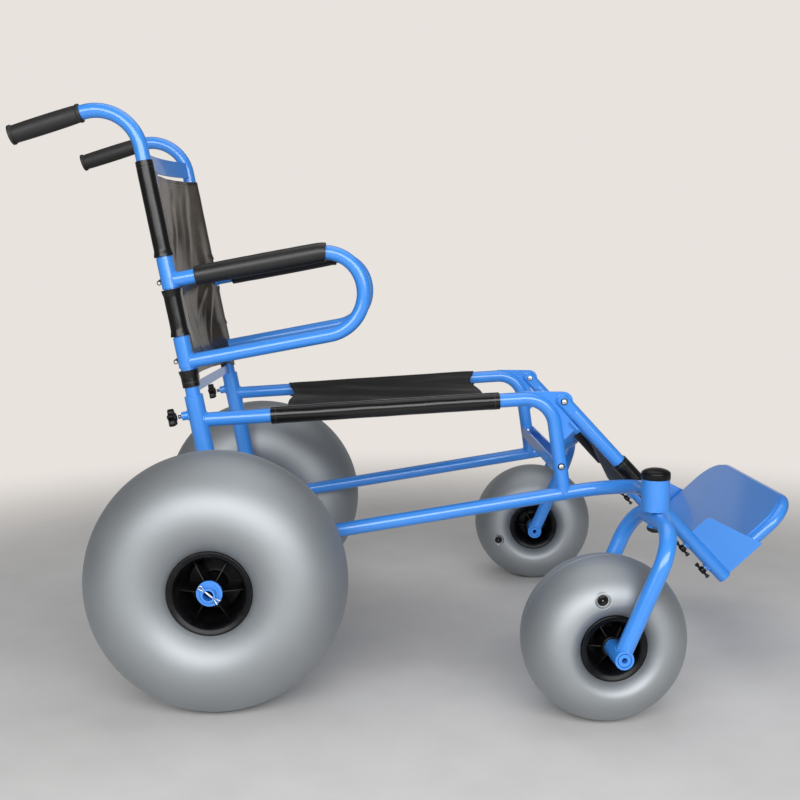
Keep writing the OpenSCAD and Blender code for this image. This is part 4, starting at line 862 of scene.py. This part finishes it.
for name, side in sides:
    coat(blue, f"armrest_{name}")
    post = post_place(side)
    up = post.to_3x3() @ upward
    ahead = post.to_3x3() @ Vector((1, 0, 0))
    bm = bmesh.new()
    for height in (arm_low, arm_high):
        weld_bead(bm, post @ Vector((0, 0, height)), ahead, tube_r, post.translation, up, collar_r)
    piece(f"arm_welds_{name}", bm, blue, f"arm_{name}", "blue_paint")

    bm = bmesh.new()
    skin_line = []
    for s in (i / pad_steps * pad_len for i in range(pad_steps + 1)):
        swell = 0.0006 + 0.0009 * math.sin(math.pi * s / pad_len) ** 0.6 + 0.0003 * ripple(s * 40, side, 0)
        skin_line.append((pad_r + swell, s))
    near_end = eased([(pad_bore, 0), skin_line[0], skin_line[1]], pad_ease)[:-1]
    far_end = eased([skin_line[-2], skin_line[-1], (pad_bore, pad_len)], pad_ease)[1:]
    turned(bm, near_end + skin_line[1:-1] + far_end,
           Matrix.Translation((pad_start, 0, 0)) @ Matrix.Rotation(math.pi / 2, 4, "Y"), 56)
    for v in bm.verts:
        past = v.co.x - bend_start
        if past > 0:
            angle, out_by = past / arm_bend, arm_bend + v.co.z
            v.co.x = bend_start + out_by * math.sin(angle)
            v.co.z = out_by * math.cos(angle) - arm_bend
    bmesh.ops.transform(bm, matrix=post @ Matrix.Translation((0, 0, arm_high)), verts=bm.verts)
    pad = piece(f"foam_pad_{name}", bm, foam, f"arm_{name}", "black_rubber", f"arm_pad_{name}")

    bm = bmesh.new()
    for collar in (low_collar, high_collar):
        place = (post @ Matrix.Translation((-collar_r, 0, collar + ring_up * collar_h))
                 @ Matrix.Rotation(-math.pi / 2, 4, "Y"))
        turned(bm, eased(ring_pin, 0.0004), place, 24)
        hung = Matrix.Translation((-0.0038, 0, 0.0042)) @ Matrix.Rotation(pull_turn, 4, "X")
        turned(bm, pull_ring, place @ hung, 36)
    piece(f"pull_rings_{name}", bm, dark, f"arm_{name}", "bright_steel", f"ring_pins_{name}")


# Legrest: two slotted steel tubes, painted, that hang on the pivot bolts with a cloth calf strap between
# them.  Two black plastic T-handles on steel screws turn in bosses under each tube to clamp the footplate.
pivot = joint_spot("legrest_tilt")
hanger_drop = math.radians(47.5)
hanger_len, hanger_r = 0.487, 0.014
leg_place = Matrix.Translation((pivot.x, 0, pivot.z)) @ Matrix.Rotation(hanger_drop, 4, "Y")
leg_down = leg_place.to_3x3() @ Vector((1, 0, 0))
leg_under = leg_place.to_3x3() @ Vector((0, 0, -1))
screws = (("upper", hanger_len - 0.102), ("lower", hanger_len - 0.041))
screw_boss_r, screw_boss_h, screw_free, screw_neck, screw_r = 0.0065, 0.0025, 0.001, 0.002, 0.0030
bar_len, bar_r, bar_waist, bar_ease = 0.036, 0.0045, 0.66, 0.0015
end_swell, end_from, end_to = 0.30, 0.010, 0.014
handle_z = hanger_r + screw_boss_h + screw_free
hub_r, hub_top = 0.0076, handle_z + screw_neck + 2 * bar_r
hub_outline = [(0.0031, handle_z), (0.0060, handle_z), (hub_r, handle_z + 0.002), (hub_r, hub_top - 0.002),
               (0.0060, hub_top), (0, hub_top)]
screw_low, screw_high = -0.0080, handle_z + 0.001
screw_outline = [(0, screw_low), (screw_r, screw_low), (screw_r, screw_high), (0, screw_high)]
for name, side in sides:
    coat(blue, f"hanger_{name}")
    welds = bmesh.new()
    for _, down in screws:
        spot = leg_place @ Vector((down, side * half_w, 0))
        weld_bead(welds, spot, leg_under, screw_boss_r, spot, leg_down, hanger_r)
    piece(f"hanger_welds_{name}", welds, blue, "legrest", "blue_paint")
    for which, down in screws:
        place = leg_place @ Matrix.Translation((down, side * half_w, 0)) @ Matrix.Rotation(math.pi, 4, "X")
        bm = bmesh.new()
        bmesh.ops.create_cube(bm, size=1, matrix=Matrix.Diagonal((bar_len, 2 * bar_r, 2 * bar_r, 1)))
        long_edges = [e for e in bm.edges if abs(e.verts[0].co.x - e.verts[1].co.x) > 1e-6]
        bmesh.ops.subdivide_edges(bm, edges=long_edges, cuts=8)
        for v in bm.verts:
            waist = bar_waist + end_swell * smooth_step(abs(v.co.x), end_from, end_to)
            v.co.y *= waist
            v.co.z *= waist
        ease_edges(bm, [e for e in bm.edges if e.calc_face_angle(0) > 0.5], bar_ease, 4)
        bmesh.ops.transform(bm, matrix=place @ Matrix.Translation((0, 0, handle_z + screw_neck + bar_r)),
                            verts=bm.verts)
        turned(bm, eased(hub_outline, 0.0012), place, 32)
        piece(f"{which}_handle_{name}", bm, plastic, f"{which}_clamp_{name}", "black_plastic",
              f"{which}_clamp_knob_{name}")
        bm = bmesh.new()
        turned(bm, eased(screw_outline, 0.0004), place, 24)
        piece(f"{which}_screw_{name}", bm, zinc, f"{which}_clamp_{name}", "bright_steel")

strap_start, strap_end, strap_belly, strap_slant = 0.165, 0.257, 0.054, 0.014
strap_hollow, strap_pull = 0.006, 0.003


def strap_surface(c, v):
    """The point of the calf strap at a place c across its section and a share v down the hangers."""
    inner = max(1 - c * c, 0)
    wrap = wrap_r + 0.0003 * ripple(c * 4, v * 4, 9.0)
    y, h = section(c, wrap, strap_belly * (0.30 + 0.55 * v))
    x = strap_start + v * (strap_end - strap_start) + strap_hollow * inner * (0.5 - v)
    x += strap_slant * smooth_step(c, 0, 1)
    h += strap_pull * min(1, 3 * inner) * ripple(c * 3.0, v * 1.2, 6.2)
    return leg_place @ Vector((x, y, h))


strap_cut = (0.62, strap_end - strap_start)
strap_hems = (0.006, strap_cut[1] - 0.006)
strap_cloth = coated_cloth("strap_cloth", black_tones, web_shine=0.26, web_dull=0.34, sleeve_dull=0.16,
                           cut_size=strap_cut, hems=strap_hems)
strap = sling_cloth("calf_cloth", 160, 24, strap_surface, strap_cloth, "legrest", "calf_strap")


# Footplate: a folded steel sheet, painted, laid over a border of bent tube, with a flange on each side
# that slides in the hanger slot and is clamped by the T-handled screws.
coat(blue, "footplate", "footplate_border")
